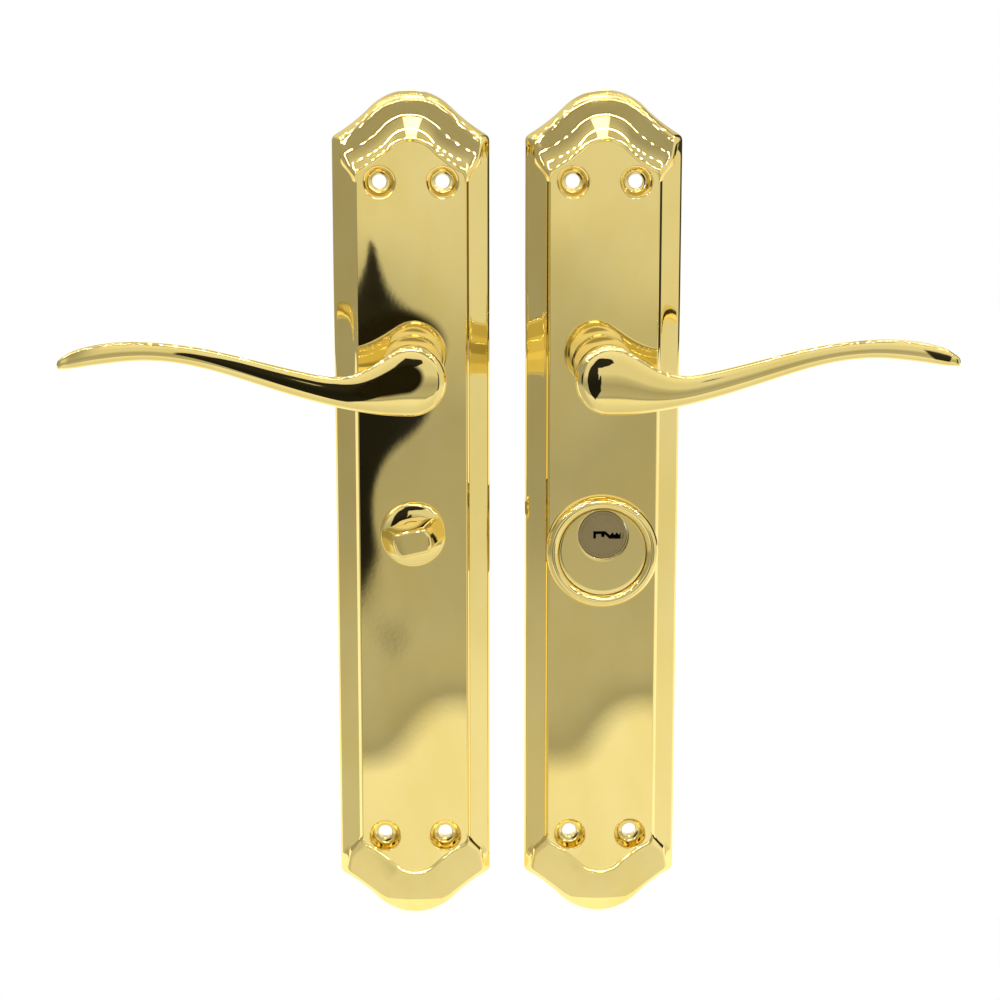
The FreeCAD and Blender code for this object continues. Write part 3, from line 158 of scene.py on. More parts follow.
def piece(name, points, faces, x=0.0, z=0.0):
    """A smooth mesh facing outwards, from points of across, height and up in millimetres about x and z."""
    mesh = bpy.data.meshes.new(name)
    mesh.from_pydata([((a + x) * MM, -height * MM, (up + z) * MM) for a, height, up in points], [], faces)
    work = bmesh.new()
    work.from_mesh(mesh)
    bmesh.ops.remove_doubles(work, verts=work.verts, dist=1e-7)
    bmesh.ops.recalc_face_normals(work, faces=work.faces)
    work.to_mesh(mesh)
    work.free()
    mesh.shade_smooth()
    made = bpy.data.objects.new(name, mesh)
    bpy.context.scene.collection.objects.link(made)
    return made


def creased(made, angle):
    """Keep edges that turn by more than the angle, in degrees, sharp."""
    made.data.set_sharp_from_angle(angle=math.radians(angle))


def baked(made, helpers=(), crease=40.0):
    """The object with its modifiers applied to its mesh, its creases kept and the helper objects removed."""
    graph = bpy.context.evaluated_depsgraph_get()
    mesh = bpy.data.meshes.new_from_object(made.evaluated_get(graph))
    old = made.data
    made.modifiers.clear()
    made.data = mesh
    bpy.data.meshes.remove(old)
    mesh.name = made.name
    for helper in helpers:
        bpy.data.objects.remove(helper)
    mesh.shade_smooth()
    creased(made, crease)
    return made


def bridge_rings(faces, first, second, count):
    """Quads between two closed rings of count points that start at the two given places."""
    for step in range(count):
        after = (step + 1) % count
        faces.append((first + step, first + after, second + after, second + step))


def row_faces(rows, count, start=0):
    """Quads between each ring of count points and the next."""
    faces = []
    for row in range(rows - 1):
        bridge_rings(faces, start + row * count, start + (row + 1) * count, count)
    return faces


def circle_points(x, height, z, radius, count):
    turns = [2 * math.pi * step / count for step in range(count)]
    return [(x + radius * math.sin(turn), height, z + radius * math.cos(turn)) for turn in turns]


def inside_loop(point, loop):
    """Whether a point lies in a closed loop, by counting the edges that a ray crosses."""
    crossed = False
    for start, end in zip(loop, loop[1:] + loop[:1]):
        if (start.y > point.y) != (end.y > point.y):
            if point.x < start.x + (point.y - start.y) * (end.x - start.x) / (end.y - start.y):
                crossed = not crossed
    return crossed


# The stamped dish and its collar: radius and depth below the panel.
dish_profile = [
    (5.95, 0.0), (5.85, 0.0), (5.72, 0.06), (5.58, 0.22), (5.42, 0.55), (5.0, 1.7), (4.6, 2.7), (4.35, 3.25),
    (4.1, 3.68), (3.75, 3.94), (3.4, 4.0), (2.85, 4.0), (2.65, 4.06), (2.54, 4.2), (2.5, 4.45), (2.5, 8.0),
]
dish_count = 64


def plate_piece(name, x, holes):
    """One plate: relief rows, the flat panel cut round its holes, the dishes, and the sheet's wall behind."""
    rings = [ogee_ring(row) for row in softened(relief_rows)]
    points = [point for ring in rings for point in ring]
    count = len(rings[0])
    faces = row_faces(len(rings), count)
    loops = [list(range(len(points) - count, len(points)))]
    for across in (-screw_across, screw_across):
        for along in (-screw_along, screw_along):
            start = len(points)
            for radius, depth in dish_profile:
                points += circle_points(across, panel_height - depth, along, radius, dish_count)
            faces += row_faces(len(dish_profile), dish_count, start)
            loops.append(list(range(start, start + dish_count)))
    for outline in holes:
        start = len(points)
        points += [(a, panel_height, up) for a, up in outline]
        loops.append(list(range(start, start + len(outline))))

    def on_panel(index):
        return Vector((points[index][0], points[index][2]))

    flat = [index for loop in loops for index in loop]
    edges = []
    begin = 0
    for loop in loops:
        edges += [(begin + step, begin + (step + 1) % len(loop)) for step in range(len(loop))]
        begin += len(loop)
    plan = [on_panel(index) for index in flat]
    _, _, triangles, origins, _, _ = geometry.delaunay_2d_cdt(plan, edges, [], 1, 1e-6)
    openings = [[on_panel(index) for index in loop] for loop in loops[1:]]
    for triangle in triangles:
        corners = [flat[origins[vertex][0]] for vertex in triangle]
        middle = sum((on_panel(index) for index in corners), Vector((0, 0))) / 3
        if not any(inside_loop(middle, loop) for loop in openings):
            faces.append(tuple(corners))
    shell = piece(name, points, faces, x)
    wall = shell.modifiers.new("wall", "SOLIDIFY")
    wall.thickness = sheet_gauge * MM
    wall.offset = -1
    return baked(shell)


# The holes for the lever, the thumbturn's stem and the cylinder, whose round part opens into its web's slot.
lever_hole_radius, turn_hole_radius = 9.45, 6.25
lever_hole = [(a, up) for a, _, up in circle_points(0, 0, lever_z, lever_hole_radius, 72)]
turn_hole = [(a, up) for a, _, up in circle_points(0, 0, plug_z, turn_hole_radius, 48)]
profile_radius, slot_half, slot_depth = 8.9, 5.4, 19.5
round_steps, slot_steps = 40, 16
meet = math.acos(slot_half / profile_radius)
profile_hole = []
for step in range(round_steps + 1):
    angle = -meet + (math.pi + 2 * meet) * step / round_steps
    profile_hole.append((profile_radius * math.cos(angle), plug_z + profile_radius * math.sin(angle)))
for step in range(slot_steps + 1):
    angle = math.pi + math.pi * step / slot_steps
    profile_hole.append((slot_half * math.cos(angle), plug_z - slot_depth + slot_half * math.sin(angle)))

outside_plate = plate_piece("back_plate_outside", 0.0, [lever_hole, profile_hole])
inside_plate = plate_piece("back_plate_inside", inside_x, [lever_hole, turn_hole])


class Signal:
    """A shader socket. Arithmetic on it adds Math nodes."""

    def __init__(self, recipe, socket):
        self.recipe, self.socket = recipe, socket

    def maths(self, operation, first, second):
        return self.recipe.node("ShaderNodeMath", {"operation": operation}, {0: first, 1: second})

    def __add__(self, other):
        return self.maths("ADD", self, other)

    def __radd__(self, other):
        return self.maths("ADD", other, self)

    def __sub__(self, other):
        return self.maths("SUBTRACT", self, other)

    def __rsub__(self, other):
        return self.maths("SUBTRACT", other, self)

    def __mul__(self, other):
        return self.maths("MULTIPLY", self, other)

    def __rmul__(self, other):
        return self.maths("MULTIPLY", other, self)


class Recipe:
    """The node tree of a new material, or of the room. Surface gives constant values by the socket's name."""

    def __init__(self, name, room=None, **surface):
        self.material = room or bpy.data.materials.new(name)
        self.material.use_nodes = True
        self.tree = self.material.node_tree
        self.shader = self.tree.nodes["Background" if room else "Principled BSDF"]
        for socket, value in surface.items():
            self.shader.inputs[socket.replace("_", " ")].default_value = value
        self.place = self.node("ShaderNodeTexCoord", {}, {}, "Generated" if room else "Object")

    def node(self, kind, settings, values, output=0):
        """Any node: its settings first, then the values or links of its sockets. Gives one of its outputs."""
        made = self.tree.nodes.new(kind)
        for key, setting in settings.items():
            if key == "stops":
                while len(made.color_ramp.elements) < len(setting):
                    made.color_ramp.elements.new(0.5)
                for element, (position, colour) in zip(made.color_ramp.elements, setting):
                    element.position, element.color = position, (*colour, 1.0)
            else:
                setattr(made, key, setting)
        for key, value in values.items():
            if isinstance(value, Signal):
                self.tree.links.new(value.socket, made.inputs[key])
            else:
                made.inputs[key].default_value = value
        return Signal(self, made.outputs[output])

    def speckle(self, scale, detail=2.0, stretch=(1.0, 1.0, 1.0)):
        """Noise in blotches of about 1 / scale metres, drawn out along an axis by a small stretch."""
        turned = self.node("ShaderNodeMapping", {}, {"Vector": self.place, "Scale": stretch})
        values = {"Vector": turned, "Scale": scale, "Detail": detail}
        return self.node("ShaderNodeTexNoise", {}, values, "Fac")

    def wave(self, rate, start):
        """A sine over the piece. Rate is in radians a metre along each axis."""
        values = {0: self.place, 1: rate}
        run = self.node("ShaderNodeVectorMath", {"operation": "DOT_PRODUCT"}, values, "Value")
        return self.node("ShaderNodeMath", {"operation": "SINE"}, {0: run + start})

    def band(self, signal, low, high, out_low=0.0, out_high=1.0):
        """The signal between low and high, smoothed and carried over to another range."""
        values = {"Value": signal, "From Min": low, "From Max": high, "To Min": out_low, "To Max": out_high}
        return self.node("ShaderNodeMapRange", {"interpolation_type": "SMOOTHSTEP"}, values)

    def blend(self, share, first, second):
        values = {"Factor": share, 6: (*first, 1.0), 7: (*second, 1.0)}
        return self.node("ShaderNodeMix", {"data_type": "RGBA"}, values, 2)

    def feed(self, **links):
        for socket, signal in links.items():
            self.tree.links.new(signal.socket, self.shader.inputs[socket.replace("_", " ")])
        return self

    def bump(self, height, depth, under=None):
        """Relief of depth metres where the height signal runs from 0 to 1."""
        values = {"Height": height, "Distance": depth, "Strength": 1.0}
        if under:
            values["Normal"] = under
        return self.node("ShaderNodeBump", {}, values, "Normal")


def dressed(made, body, node, recipe):
    """Give a piece its finish, attach it to the body it rides on, and hide the CAD node it stands for."""
    made.data.materials.clear()
    made.data.materials.append(recipe.material)
    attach(made, body)
    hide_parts(node)


brass_pale, brass_deep = (0.945, 0.765, 0.285), (0.915, 0.72, 0.235)
grain_scale, fine_grain = 650.0, 0.0000008
haze_scale, haze_stretch = 55.0, (1.0, 1.0, 0.6)
twist_across, twist_along, twist_start = 93.0, 60.0, 4.8


def polished_brass(name, wave_depth, wave_scale, smear, grain_depth=fine_grain, twist=0.0):
    """Mirror brass under lacquer: slow waves left by the press, fine polishing grain, and faint smears.

    Smear is the least roughness. Twist is the depth of the long waves that a pressed sheet keeps.
    """
    recipe = Recipe(name, Metallic=1.0, Coat_Roughness=0.02, Coat_Weight=0.2)
    wave = recipe.speckle(wave_scale, 0.0)
    grain = recipe.speckle(grain_scale, 3.0)
    haze = recipe.speckle(haze_scale, 4.0, haze_stretch)
    relief = recipe.bump(wave, wave_depth)
    if twist:
        across = recipe.wave((twist_across, 0.0, 0.0), 0.0)
        along = recipe.wave((0.0, 0.0, twist_along), twist_start)
        relief = recipe.bump(across * along * 0.5 + 0.5, twist, relief)
    normal = recipe.bump(grain, grain_depth, relief)
    roughness = recipe.band(haze, 0.35, 0.75, smear, smear * 2.0)
    tint = recipe.blend(recipe.band(haze, 0.3, 0.7), brass_pale, brass_deep)
    return recipe.feed(Base_Color=tint, Roughness=roughness, Normal=normal)


plate_brass = polished_brass(
    "polished_brass_plate", wave_depth=0.00006, wave_scale=30.0, smear=0.02, twist=0.00024,
)
dressed(outside_plate, "mounted", "outside_plate", plate_brass)
dressed(inside_plate, "mounted", "inside_plate", plate_brass)


# The levers. Each is one brass casting, ground and polished: a leaf-shaped arm that flows into a round head,
# a waisted neck and a turned shank. The inside lever is the mirror image of the outside one.
# Places along the arm from the lever's axis, with the height above the axis or above the door.
lever_top = [
    (0, 12.1), (3, 11.5), (6, 9.9), (12, 5.9), (18, 2.9), (25, 1.6), (34, 2.9), (45, 5.5), (56, 8.3),
    (68, 11.1), (80, 12.9), (92, 13.6), (102, 13.0), (110, 11.4), (115.5, 9.2), (118.3, 7.2),
]
lever_low = [
    (0, -12.1), (6, -11.9), (12, -11.3), (18, -10.3), (25, -8.8), (34, -6.4), (45, -3.0), (56, 0.6),
    (68, 4.2), (80, 6.6), (92, 7.1), (102, 6.1), (110, 4.9), (115.5, 4.1), (118.3, 4.0),
]
lever_front = [
    (0, 48.0), (12, 47.9), (25, 47.7), (45, 47.5), (68, 47.2), (80, 46.9), (92, 46.4), (102, 45.7),
    (110, 44.8), (116, 43.8),
]
lever_back = [
    (0, 34.0), (6, 33.2), (12, 33.2), (18, 34.7), (25, 36.6), (34, 37.9), (45, 38.7), (68, 39.3), (92, 39.5),
    (110, 39.9), (116, 40.4),
]
head_radius = 12.1
arm_end = 118.3
tip_reach = 119.0
tip_middle = 115.6
arm_steps, head_steps, tip_steps = 66, 48, 12
face_steps, edge_steps, back_steps = 7, 8, 12
# Widths of the rounded rim: along the top, where that meets the head, under the head, underneath, at the tip.
rim_top, rim_join, rim_under, rim_low, rim_tip = 0.9, 1.9, 3.3, 1.4, 1.1
# How much the face domes at a narrow place, and how much more at the head.
dome_least, dome_more = 0.15, 0.75


def curve_through(knots):
    """A smooth function through pairs of place and value, as a natural cubic spline."""
    places = [knot[0] for knot in knots]
    values = [knot[1] for knot in knots]
    count = len(knots)
    bends = [0.0] * count
    upper = [0.0] * count
    for i in range(1, count - 1):
        left, right = places[i] - places[i - 1], places[i + 1] - places[i]
        slope = (values[i + 1] - values[i]) / right - (values[i] - values[i - 1]) / left
        share = left / (left + right)
        pivot = share * bends[i - 1] + 2
        bends[i] = (share - 1) / pivot
        upper[i] = (6 * slope / (left + right) - share * upper[i - 1]) / pivot
    seconds = [0.0] * count
    for i in range(count - 2, -1, -1):
        seconds[i] = bends[i] * seconds[i + 1] + upper[i]

    def value(place):
        place = min(max(place, places[0]), places[-1])
        i = min(sum(1 for p in places[1:] if p <= place), count - 2)
        run = places[i + 1] - places[i]
        a, b = (places[i + 1] - place) / run, (place - places[i]) / run
        curl = (a**3 - a) * seconds[i] + (b**3 - b) * seconds[i + 1]
        return a * values[i] + b * values[i + 1] + curl * run * run / 6

    return value


top_at, low_at, front_at, back_at = (
    curve_through(knots) for knots in (lever_top, lever_low, lever_front, lever_back)
)


def leaf_outline():
    """The lever's outline seen from the front, from the tip over the top, round the head and back underneath.

    Each entry is a rim point, its partner on the middle line, and the width of the rounded rim there.
    """
    rim = []
    arm_places = [arm_end * step / arm_steps for step in range(arm_steps + 1)]
    for place in reversed(arm_places):
        rim.append((place, top_at(place), rim_top + (rim_join - rim_top) * smooth_step(1 - place / 12)))
    for step in range(1, head_steps):
        turn = math.pi * step / head_steps
        width = rim_join + (rim_under - rim_join) * smooth_step(turn / 1.6)
        rim.append((-head_radius * math.sin(turn), head_radius * math.cos(turn), width))
    for place in arm_places:
        rim.append((place, low_at(place), rim_under - (rim_under - rim_low) * smooth_step(place / 50)))
    first, last = Vector(rim[0][:2]), Vector(rim[-1][:2])
    handle_low = Vector((tip_reach + 0.2, last.y + 0.15))
    handle_top = Vector((tip_reach + 0.2, first.y - 0.9))
    for step in range(1, tip_steps):
        t = step / tip_steps
        bend = last * (1 - t) ** 3 + handle_low * 3 * t * (1 - t) ** 2
        bend = bend + handle_top * 3 * t * t * (1 - t) + first * t**3
        rim.append((bend.x, bend.y, rim_tip))
    made = []
    for x, z, width in rim:
        place = min(max(x, 0.0), tip_middle)
        made.append(((x, z), (place, (top_at(place) + low_at(place)) / 2), width))
    return made


def leaf_points():
    """Half sections of the lever's face, rim and back, each from the front's middle to the back's middle."""
    points = []
    for (x, z), (mx, mz), width in leaf_outline():
        reach = math.hypot(x - mx, z - mz)
        edge = min(width, reach * 0.6)
        front, back = front_at(mx), back_at(mx)
        dome = dome_more * min(1.0, reach / head_radius) + dome_least
        deep = edge * 0.8
        section = []
        for step in range(face_steps + 1):
            far = (reach - edge) * step / face_steps
            section.append((far, front - dome * (far / reach) ** 2))
        for step in range(1, edge_steps + 1):
            turn = math.pi / 2 * step / edge_steps
            far = reach - edge + edge * math.sin(turn)
            section.append((far, front - dome * (far / reach) ** 2 - deep * (1 - math.cos(turn))))
        belt = section[-1][1]
        for step in range(1, back_steps + 1):
            turn = math.pi / 2 * step / back_steps
            section.append((reach * math.cos(turn), belt - (belt - back) * math.sin(turn)))
        for far, height in section:
            share = far / reach
            points.append((mx + (x - mx) * share, height, mz + (z - mz) * share))
    return points, len(section)


# Radius and height of the neck, its foot and the shank, which has a groove for the clip.
neck_profile = [
    (0.0, 43.0), (6.0, 43.0), (9.4, 42.0), (10.6, 39.6), (10.75, 36.5), (10.2, 32.0), (9.85, 26.0),
    (9.8, 20.0), (10.1, 14.5), (10.45, 10.4), (10.6, 9.2), (10.5, 8.6), (10.2, 8.3), (8.0, 8.3), (8.0, 1.9),
    (8.0, 0.3), (7.3, 0.3), (7.3, -0.7), (8.0, -0.7), (8.0, -1.3), (7.9, -1.4), (0.0, -1.4),
]
# The spindle's square socket, and the two flats on the shank's end that turn the drive plate.
cut_start = -2.4
socket_side, socket_end = 8.1, 26.0
flat_end, flat_reach, flat_width, flat_length = 1.9, 9.0, 20.0, 4.0


def turned_points(profile, count):
    """Rings of points about the axis, one for each radius and height."""
    points = []
    for radius, height in profile:
        points += circle_points(0, height, 0, radius, count)
    return points


def turned_piece(name, profile, count, x, z):
    """A piece turned about the axis at x, z."""
    return piece(name, turned_points(profile, count), row_faces(len(profile), count), x, z)


def block(name, width, low_height, high_height, length, x, z):
    """A plain block that a Boolean takes away."""
    corners = [
        (across, height, up) for height in (low_height, high_height)
        for across in (-width / 2, width / 2) for up in (-length / 2, length / 2)
    ]
    faces = [(0, 1, 3, 2), (4, 6, 7, 5), (0, 4, 5, 1), (2, 3, 7, 6), (0, 2, 6, 4), (1, 5, 7, 3)]
    return piece(name, corners, faces, x, z)


def boolean(made, operation, other):
    change = made.modifiers.new(operation.lower(), "BOOLEAN")
    change.operation, change.solver, change.object = operation, "EXACT", other


def lever_piece(name, x, hand):
    """The leaf joined with the neck, less the socket and the flats. Hand is -1 for the mirror image."""
    points, deep = leaf_points()
    count = len(points) // deep
    faces = []
    for step in range(count):
        after = (step + 1) % count
        for row in range(deep - 1):
            here, there = step * deep + row, after * deep + row
            faces.append((here, there, there + 1, here + 1))
    leaf = piece(name, [(a * hand, height, up) for a, height, up in points], faces, x, lever_z)
    neck = turned_piece(name + "_neck", neck_profile, 96, x, lever_z)
    cutters = [block(name + "_socket", socket_side, cut_start, socket_end, socket_side, x, lever_z)]
    for way in (-1, 1):
        z = lever_z + way * flat_reach
        cutters.append(block(f"{name}_flat_{way}", flat_width, cut_start, flat_end, flat_length, x, z))
    boolean(leaf, "UNION", neck)
    for cutter in cutters:
        boolean(leaf, "DIFFERENCE", cutter)
    return baked(leaf, [neck, *cutters])


outside_lever = lever_piece("lever_outside", 0.0, 1)
inside_lever = lever_piece("lever_inside", inside_x, -1)
lever_brass = polished_brass("polished_brass_lever", wave_depth=0.00005, wave_scale=40.0, smear=0.015)
dressed(outside_lever, "outside_lever_body", "outside_lever", lever_brass)
dressed(inside_lever, "inside_lever_body", "inside_lever", lever_brass)


# The cylinder guard. A brass ring with a rounded bead stands on the outside plate and holds a flat brass disc
# with an eccentric hole for the cylinder. Both are turned; the ring is polished and the disc is satin.
ring_z = -12.5
disc_drop = 6.5
bead_reach, bead_middle, bead_radius = 17.8, 10.6, 2.2
bead_steps, disc_steps, guard_count = 12, 8, 128
ring_profile = [(20.0, 8.0), (20.0, 10.4)]
for step in range(1, bead_steps + 1):
    turn = math.pi * step / bead_steps
    across, over = bead_radius * math.cos(turn), bead_radius * math.sin(turn)
    ring_profile.append((bead_reach + across, bead_middle + over))
ring_profile += [(15.6, 9.6), (13.0, 9.6), (13.0, 8.0), (20.0, 8.0)]
guard_ring = turned_piece("guard_ring_bead", ring_profile, guard_count, 0, ring_z)
creased(guard_ring, 40)

# Radius and height round the disc's edge, and round its hole.
disc_rows = [(15.3, 9.62), (15.42, 9.8), (15.42, 11.08), (15.4, 11.16), (15.37, 11.19), (15.34, 11.2)]
hole_rows = [(8.8, 11.2), (8.77, 11.19), (8.73, 11.15), (8.7, 11.08), (8.7, 9.62)]
face_radius, face_height = disc_rows[-1]
hole_radius = hole_rows[0][0]
disc_points = turned_points(disc_rows, guard_count)
for step in range(1, disc_steps):
    share = step / disc_steps
    radius = face_radius + (hole_radius - face_radius) * share
    disc_points += circle_points(0, face_height, disc_drop * share, radius, guard_count)
for radius, height in hole_rows:
    disc_points += circle_points(0, height, disc_drop, radius, guard_count)
disc_faces = row_faces(len(disc_points) // guard_count, guard_count)
bridge_rings(disc_faces, len(disc_points) - guard_count, 0, guard_count)
cover_disc = piece("guard_disc", disc_points, disc_faces, 0, ring_z)
creased(cover_disc, 40)

ring_brass = polished_brass("polished_brass_ring", wave_depth=0.00002, wave_scale=60.0, smear=0.03)
disc_brass = polished_brass(
    "polished_brass_disc", wave_depth=0.00002, wave_scale=60.0, smear=0.12, grain_depth=0.000002,
)
dressed(guard_ring, "mounted", "guard_ring", ring_brass)
dressed(cover_disc, "mounted", "cover_disc", disc_brass)


# The thumbturn. A cast brass grip with two flats and rounded ends stands on a turned brass foot. Its stem
# goes through the plate and has a square socket and a groove for its clip.
grip_turn = math.radians(13)
grip_half = 4.5
grip_edge_start = 24.0
grip_count = 96
# The power of the curve that rounds the corners between flats and ends.
grip_corner = 7.0
# Height above the door and the radius of the rounded ends there.
grip_rows = [
    (10.55, 11.2), (11.6, 10.7), (13.0, 9.9), (15.0, 9.0), (17.5, 8.2), (20.0, 7.5), (22.5, 7.0),
    (24.0, 6.75), (24.35, 6.68), (24.65, 6.5), (24.88, 6.15), (25.0, 5.6), (25.0, 5.2),
]
stem_profile = [
    (0.0, 12.5), (5.0, 12.5), (5.0, 5.1), (4.4, 5.1), (4.4, 4.1), (5.0, 4.1), (5.0, 3.5), (4.9, 3.4),
    (0.0, 3.4),
]
bar_side, bar_low, bar_high = 5.1, 2.4, 14.1


def grip_ring(radius, height, inset):
    """A circle cut by the grip's two flats, with rounded corners, turned to the grip's rest."""
    half = grip_half - inset
    points = []
    for step in range(grip_count):
        turn = 2 * math.pi * step / grip_count
        x, z = math.cos(turn), math.sin(turn)
        reach = (abs(x / radius) ** grip_corner + abs(z / half) ** grip_corner) ** (-1 / grip_corner)
        a, b = reach * x, reach * z
        over = max(1.0, math.hypot(a, b) / radius)
        a, b = a / over, b / over
        across = a * math.cos(grip_turn) - b * math.sin(grip_turn)
        points.append((across, height, a * math.sin(grip_turn) + b * math.cos(grip_turn)))
    return points


grip_points = []
for height, radius in grip_rows:
    near_front = max(0.0, height - grip_edge_start)
    grip_points += grip_ring(radius, height, near_front**2)
grip_faces = row_faces(len(grip_rows), grip_count)
grip_faces.append(tuple(range(grip_count)))
grip_faces.append(tuple(range(len(grip_points) - grip_count, len(grip_points))))
grip = piece("thumbturn_grip", grip_points, grip_faces, inside_x, plug_z)
stem = turned_piece("thumbturn_stem", stem_profile, 64, inside_x, plug_z)
bar_socket = block("thumbturn_socket", bar_side, bar_low, bar_high, bar_side, 0.0, 0.0)
bar_socket.data.transform(Matrix.Rotation(-grip_turn, 4, "Y"))
bar_socket.data.transform(Matrix.Translation((inside_x * MM, 0.0, plug_z * MM)))
boolean(grip, "UNION", stem)
boolean(grip, "DIFFERENCE", bar_socket)
grip = baked(grip, [stem, bar_socket], 35.0)
# The faces square to the axis are flat, the rest are smooth.
for face in grip.data.polygons:
    face.use_smooth = abs(face.normal.y) < 0.999

foot_profile = [
    (11.7, 8.0), (11.7, 9.2), (11.6, 9.65), (11.3, 10.05), (10.9, 10.3), (10.5, 10.4), (5.1, 10.4),
    (5.1, 8.0), (11.7, 8.0),
]
turn_foot = turned_piece("thumbturn_foot", foot_profile, 96, inside_x, plug_z)
creased(turn_foot, 40)
grip_brass = polished_brass("polished_brass_grip", wave_depth=0.00002, wave_scale=60.0, smear=0.02)
dressed(grip, "thumbturn_body", "thumbturn", grip_brass)
dressed(turn_foot, "mounted", "turn_foot", grip_brass)


# The profile cylinder. A brass body and plug, turned and nickel plated, with the plug's keyway milled in. The
# cam is sintered steel. Each of the five chambers holds a key pin, a driver pin, a coil spring and a
# pressed-in stopper.
nickel = Recipe("satin_nickel", Metallic=1.0)
to_plug = {0: nickel.place, 1: (0.0, 0.0, -plug_z * MM)}
from_plug = nickel.node("ShaderNodeVectorMath", {"operation": "ADD"}, to_plug)
ring_kind = {"wave_type": "RINGS", "rings_direction": "Y"}
ring_values = {"Vector": from_plug, "Scale": 900.0, "Distortion": 0.6}
rings = nickel.node("ShaderNodeTexWave", ring_kind, ring_values, "Fac")
cloud = nickel.speckle(90.0, 3.0)
nickel.feed(
    Base_Color=nickel.blend(nickel.band(cloud, 0.3, 0.7), (0.39, 0.305, 0.145), (0.32, 0.25, 0.115)),
    Roughness=nickel.band(cloud, 0.3, 0.75, 0.26, 0.4),
    Normal=nickel.bump(rings, 0.0000025),
)
pin_brass = Recipe("turned_pin_brass", Metallic=1.0)
turning = pin_brass.speckle(1500.0, 1.0, (0.15, 0.15, 1.0))
pin_brass.feed(
    Base_Color=pin_brass.blend(turning, (0.72, 0.58, 0.30), (0.60, 0.47, 0.23)),
    Roughness=pin_brass.band(turning, 0.3, 0.7, 0.2, 0.4),
    Normal=pin_brass.bump(turning, 0.000003),
)
sintered = Recipe("sintered_steel", Metallic=1.0)
pores = sintered.speckle(2400.0, 4.0)
sintered.feed(
    Base_Color=sintered.blend(sintered.band(pores, 0.35, 0.6), (0.30, 0.29, 0.28), (0.52, 0.51, 0.50)),
    Roughness=sintered.band(pores, 0.3, 0.7, 0.62, 0.38),
    Normal=sintered.bump(pores, 0.000012),
)


def finish_nodes(recipe, *names):
    """Give CAD nodes that stay in view their finish."""
    for name in names:
        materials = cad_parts[name].data.materials
        materials.clear()
        materials.append(recipe.material)


pin_numbers = range(1, 6)
finish_nodes(nickel, "cylinder_body", "cylinder_plug", *(f"chamber_stopper_{n}" for n in pin_numbers))
finish_nodes(pin_brass, *(f"key_pin_{n}" for n in pin_numbers), *(f"driver_pin_{n}" for n in pin_numbers))
finish_nodes(sintered, "cam")


# The hidden works. The bushes are white acetal. Cups, drive plates, bridge, screws, spindle and bar are
# zinc-plated steel, and clips, washer and set screws are blackened.
acetal = Recipe("white_acetal", Subsurface_Weight=0.15, Subsurface_Scale=0.001)
flow = acetal.speckle(160.0, 3.0)
acetal.feed(
    Base_Color=acetal.blend(flow, (0.92, 0.92, 0.88), (0.84, 0.84, 0.79)),
    Roughness=acetal.band(flow, 0.3, 0.7, 0.34, 0.48),
    Normal=acetal.bump(flow, 0.00001),
)
zinc = Recipe("bright_zinc", Metallic=1.0)
spangle = zinc.speckle(240.0, 2.0)
scratch = zinc.speckle(900.0, 3.0, (1.0, 1.0, 0.08))
zinc.feed(
    Base_Color=zinc.blend(zinc.band(spangle, 0.35, 0.65), (0.66, 0.68, 0.71), (0.74, 0.73, 0.66)),
    Roughness=zinc.band(spangle, 0.3, 0.7, 0.30, 0.44),
    Normal=zinc.bump(scratch, 0.000002),
)
dark_steel = Recipe("blackened_steel", Metallic=1.0)
oxide = dark_steel.speckle(420.0, 4.0)
dark_steel.feed(
    Base_Color=dark_steel.blend(dark_steel.band(oxide, 0.35, 0.7), (0.13, 0.13, 0.14), (0.22, 0.21, 0.20)),
    Roughness=dark_steel.band(oxide, 0.3, 0.7, 0.3, 0.5),
    Normal=dark_steel.bump(oxide, 0.000004),
)
finish_nodes(acetal, "outside_bush", "inside_bush", "turn_bush")
finish_nodes(
    zinc, "outside_spring_cup", "inside_spring_cup", "outside_drive_plate", "inside_drive_plate",
    "guard_bridge", "guard_screw_left", "guard_screw_right", "spindle", "turn_bar",
)
finish_nodes(
    dark_steel, "outside_clip", "inside_clip", "plug_clip", "turn_clip", "turn_washer", "outside_grub_screw",
    "inside_grub_screw",
)


# The return springs. Each is a torsion spring wound from oiled spring steel wire round its bush, with one leg
# on the finger of the drive plate and the other on a lug in the cup. Angles are round the lever's axis.
spring_steel = Recipe("oiled_spring_steel", Metallic=1.0)
drawn = spring_steel.speckle(1300.0, 2.0)
spring_steel.feed(
    Base_Color=spring_steel.blend(drawn, (0.46, 0.45, 0.44), (0.30, 0.30, 0.31)),
    Roughness=spring_steel.band(drawn, 0.3, 0.7, 0.2, 0.34),
    Normal=spring_steel.bump(drawn, 0.000002),
)
return_wire, return_radius, return_bend, leg_reach = 0.55, 13.5, 1.2, 15.8
moving_leg, return_turns = math.radians(103.65), 1.75
return_low, return_top = 2.56, 5.35
# The share of the coil at each end that stays level.
level_share = 0.024
coil_steps, bend_steps, wire_sides = 160, 6, 14


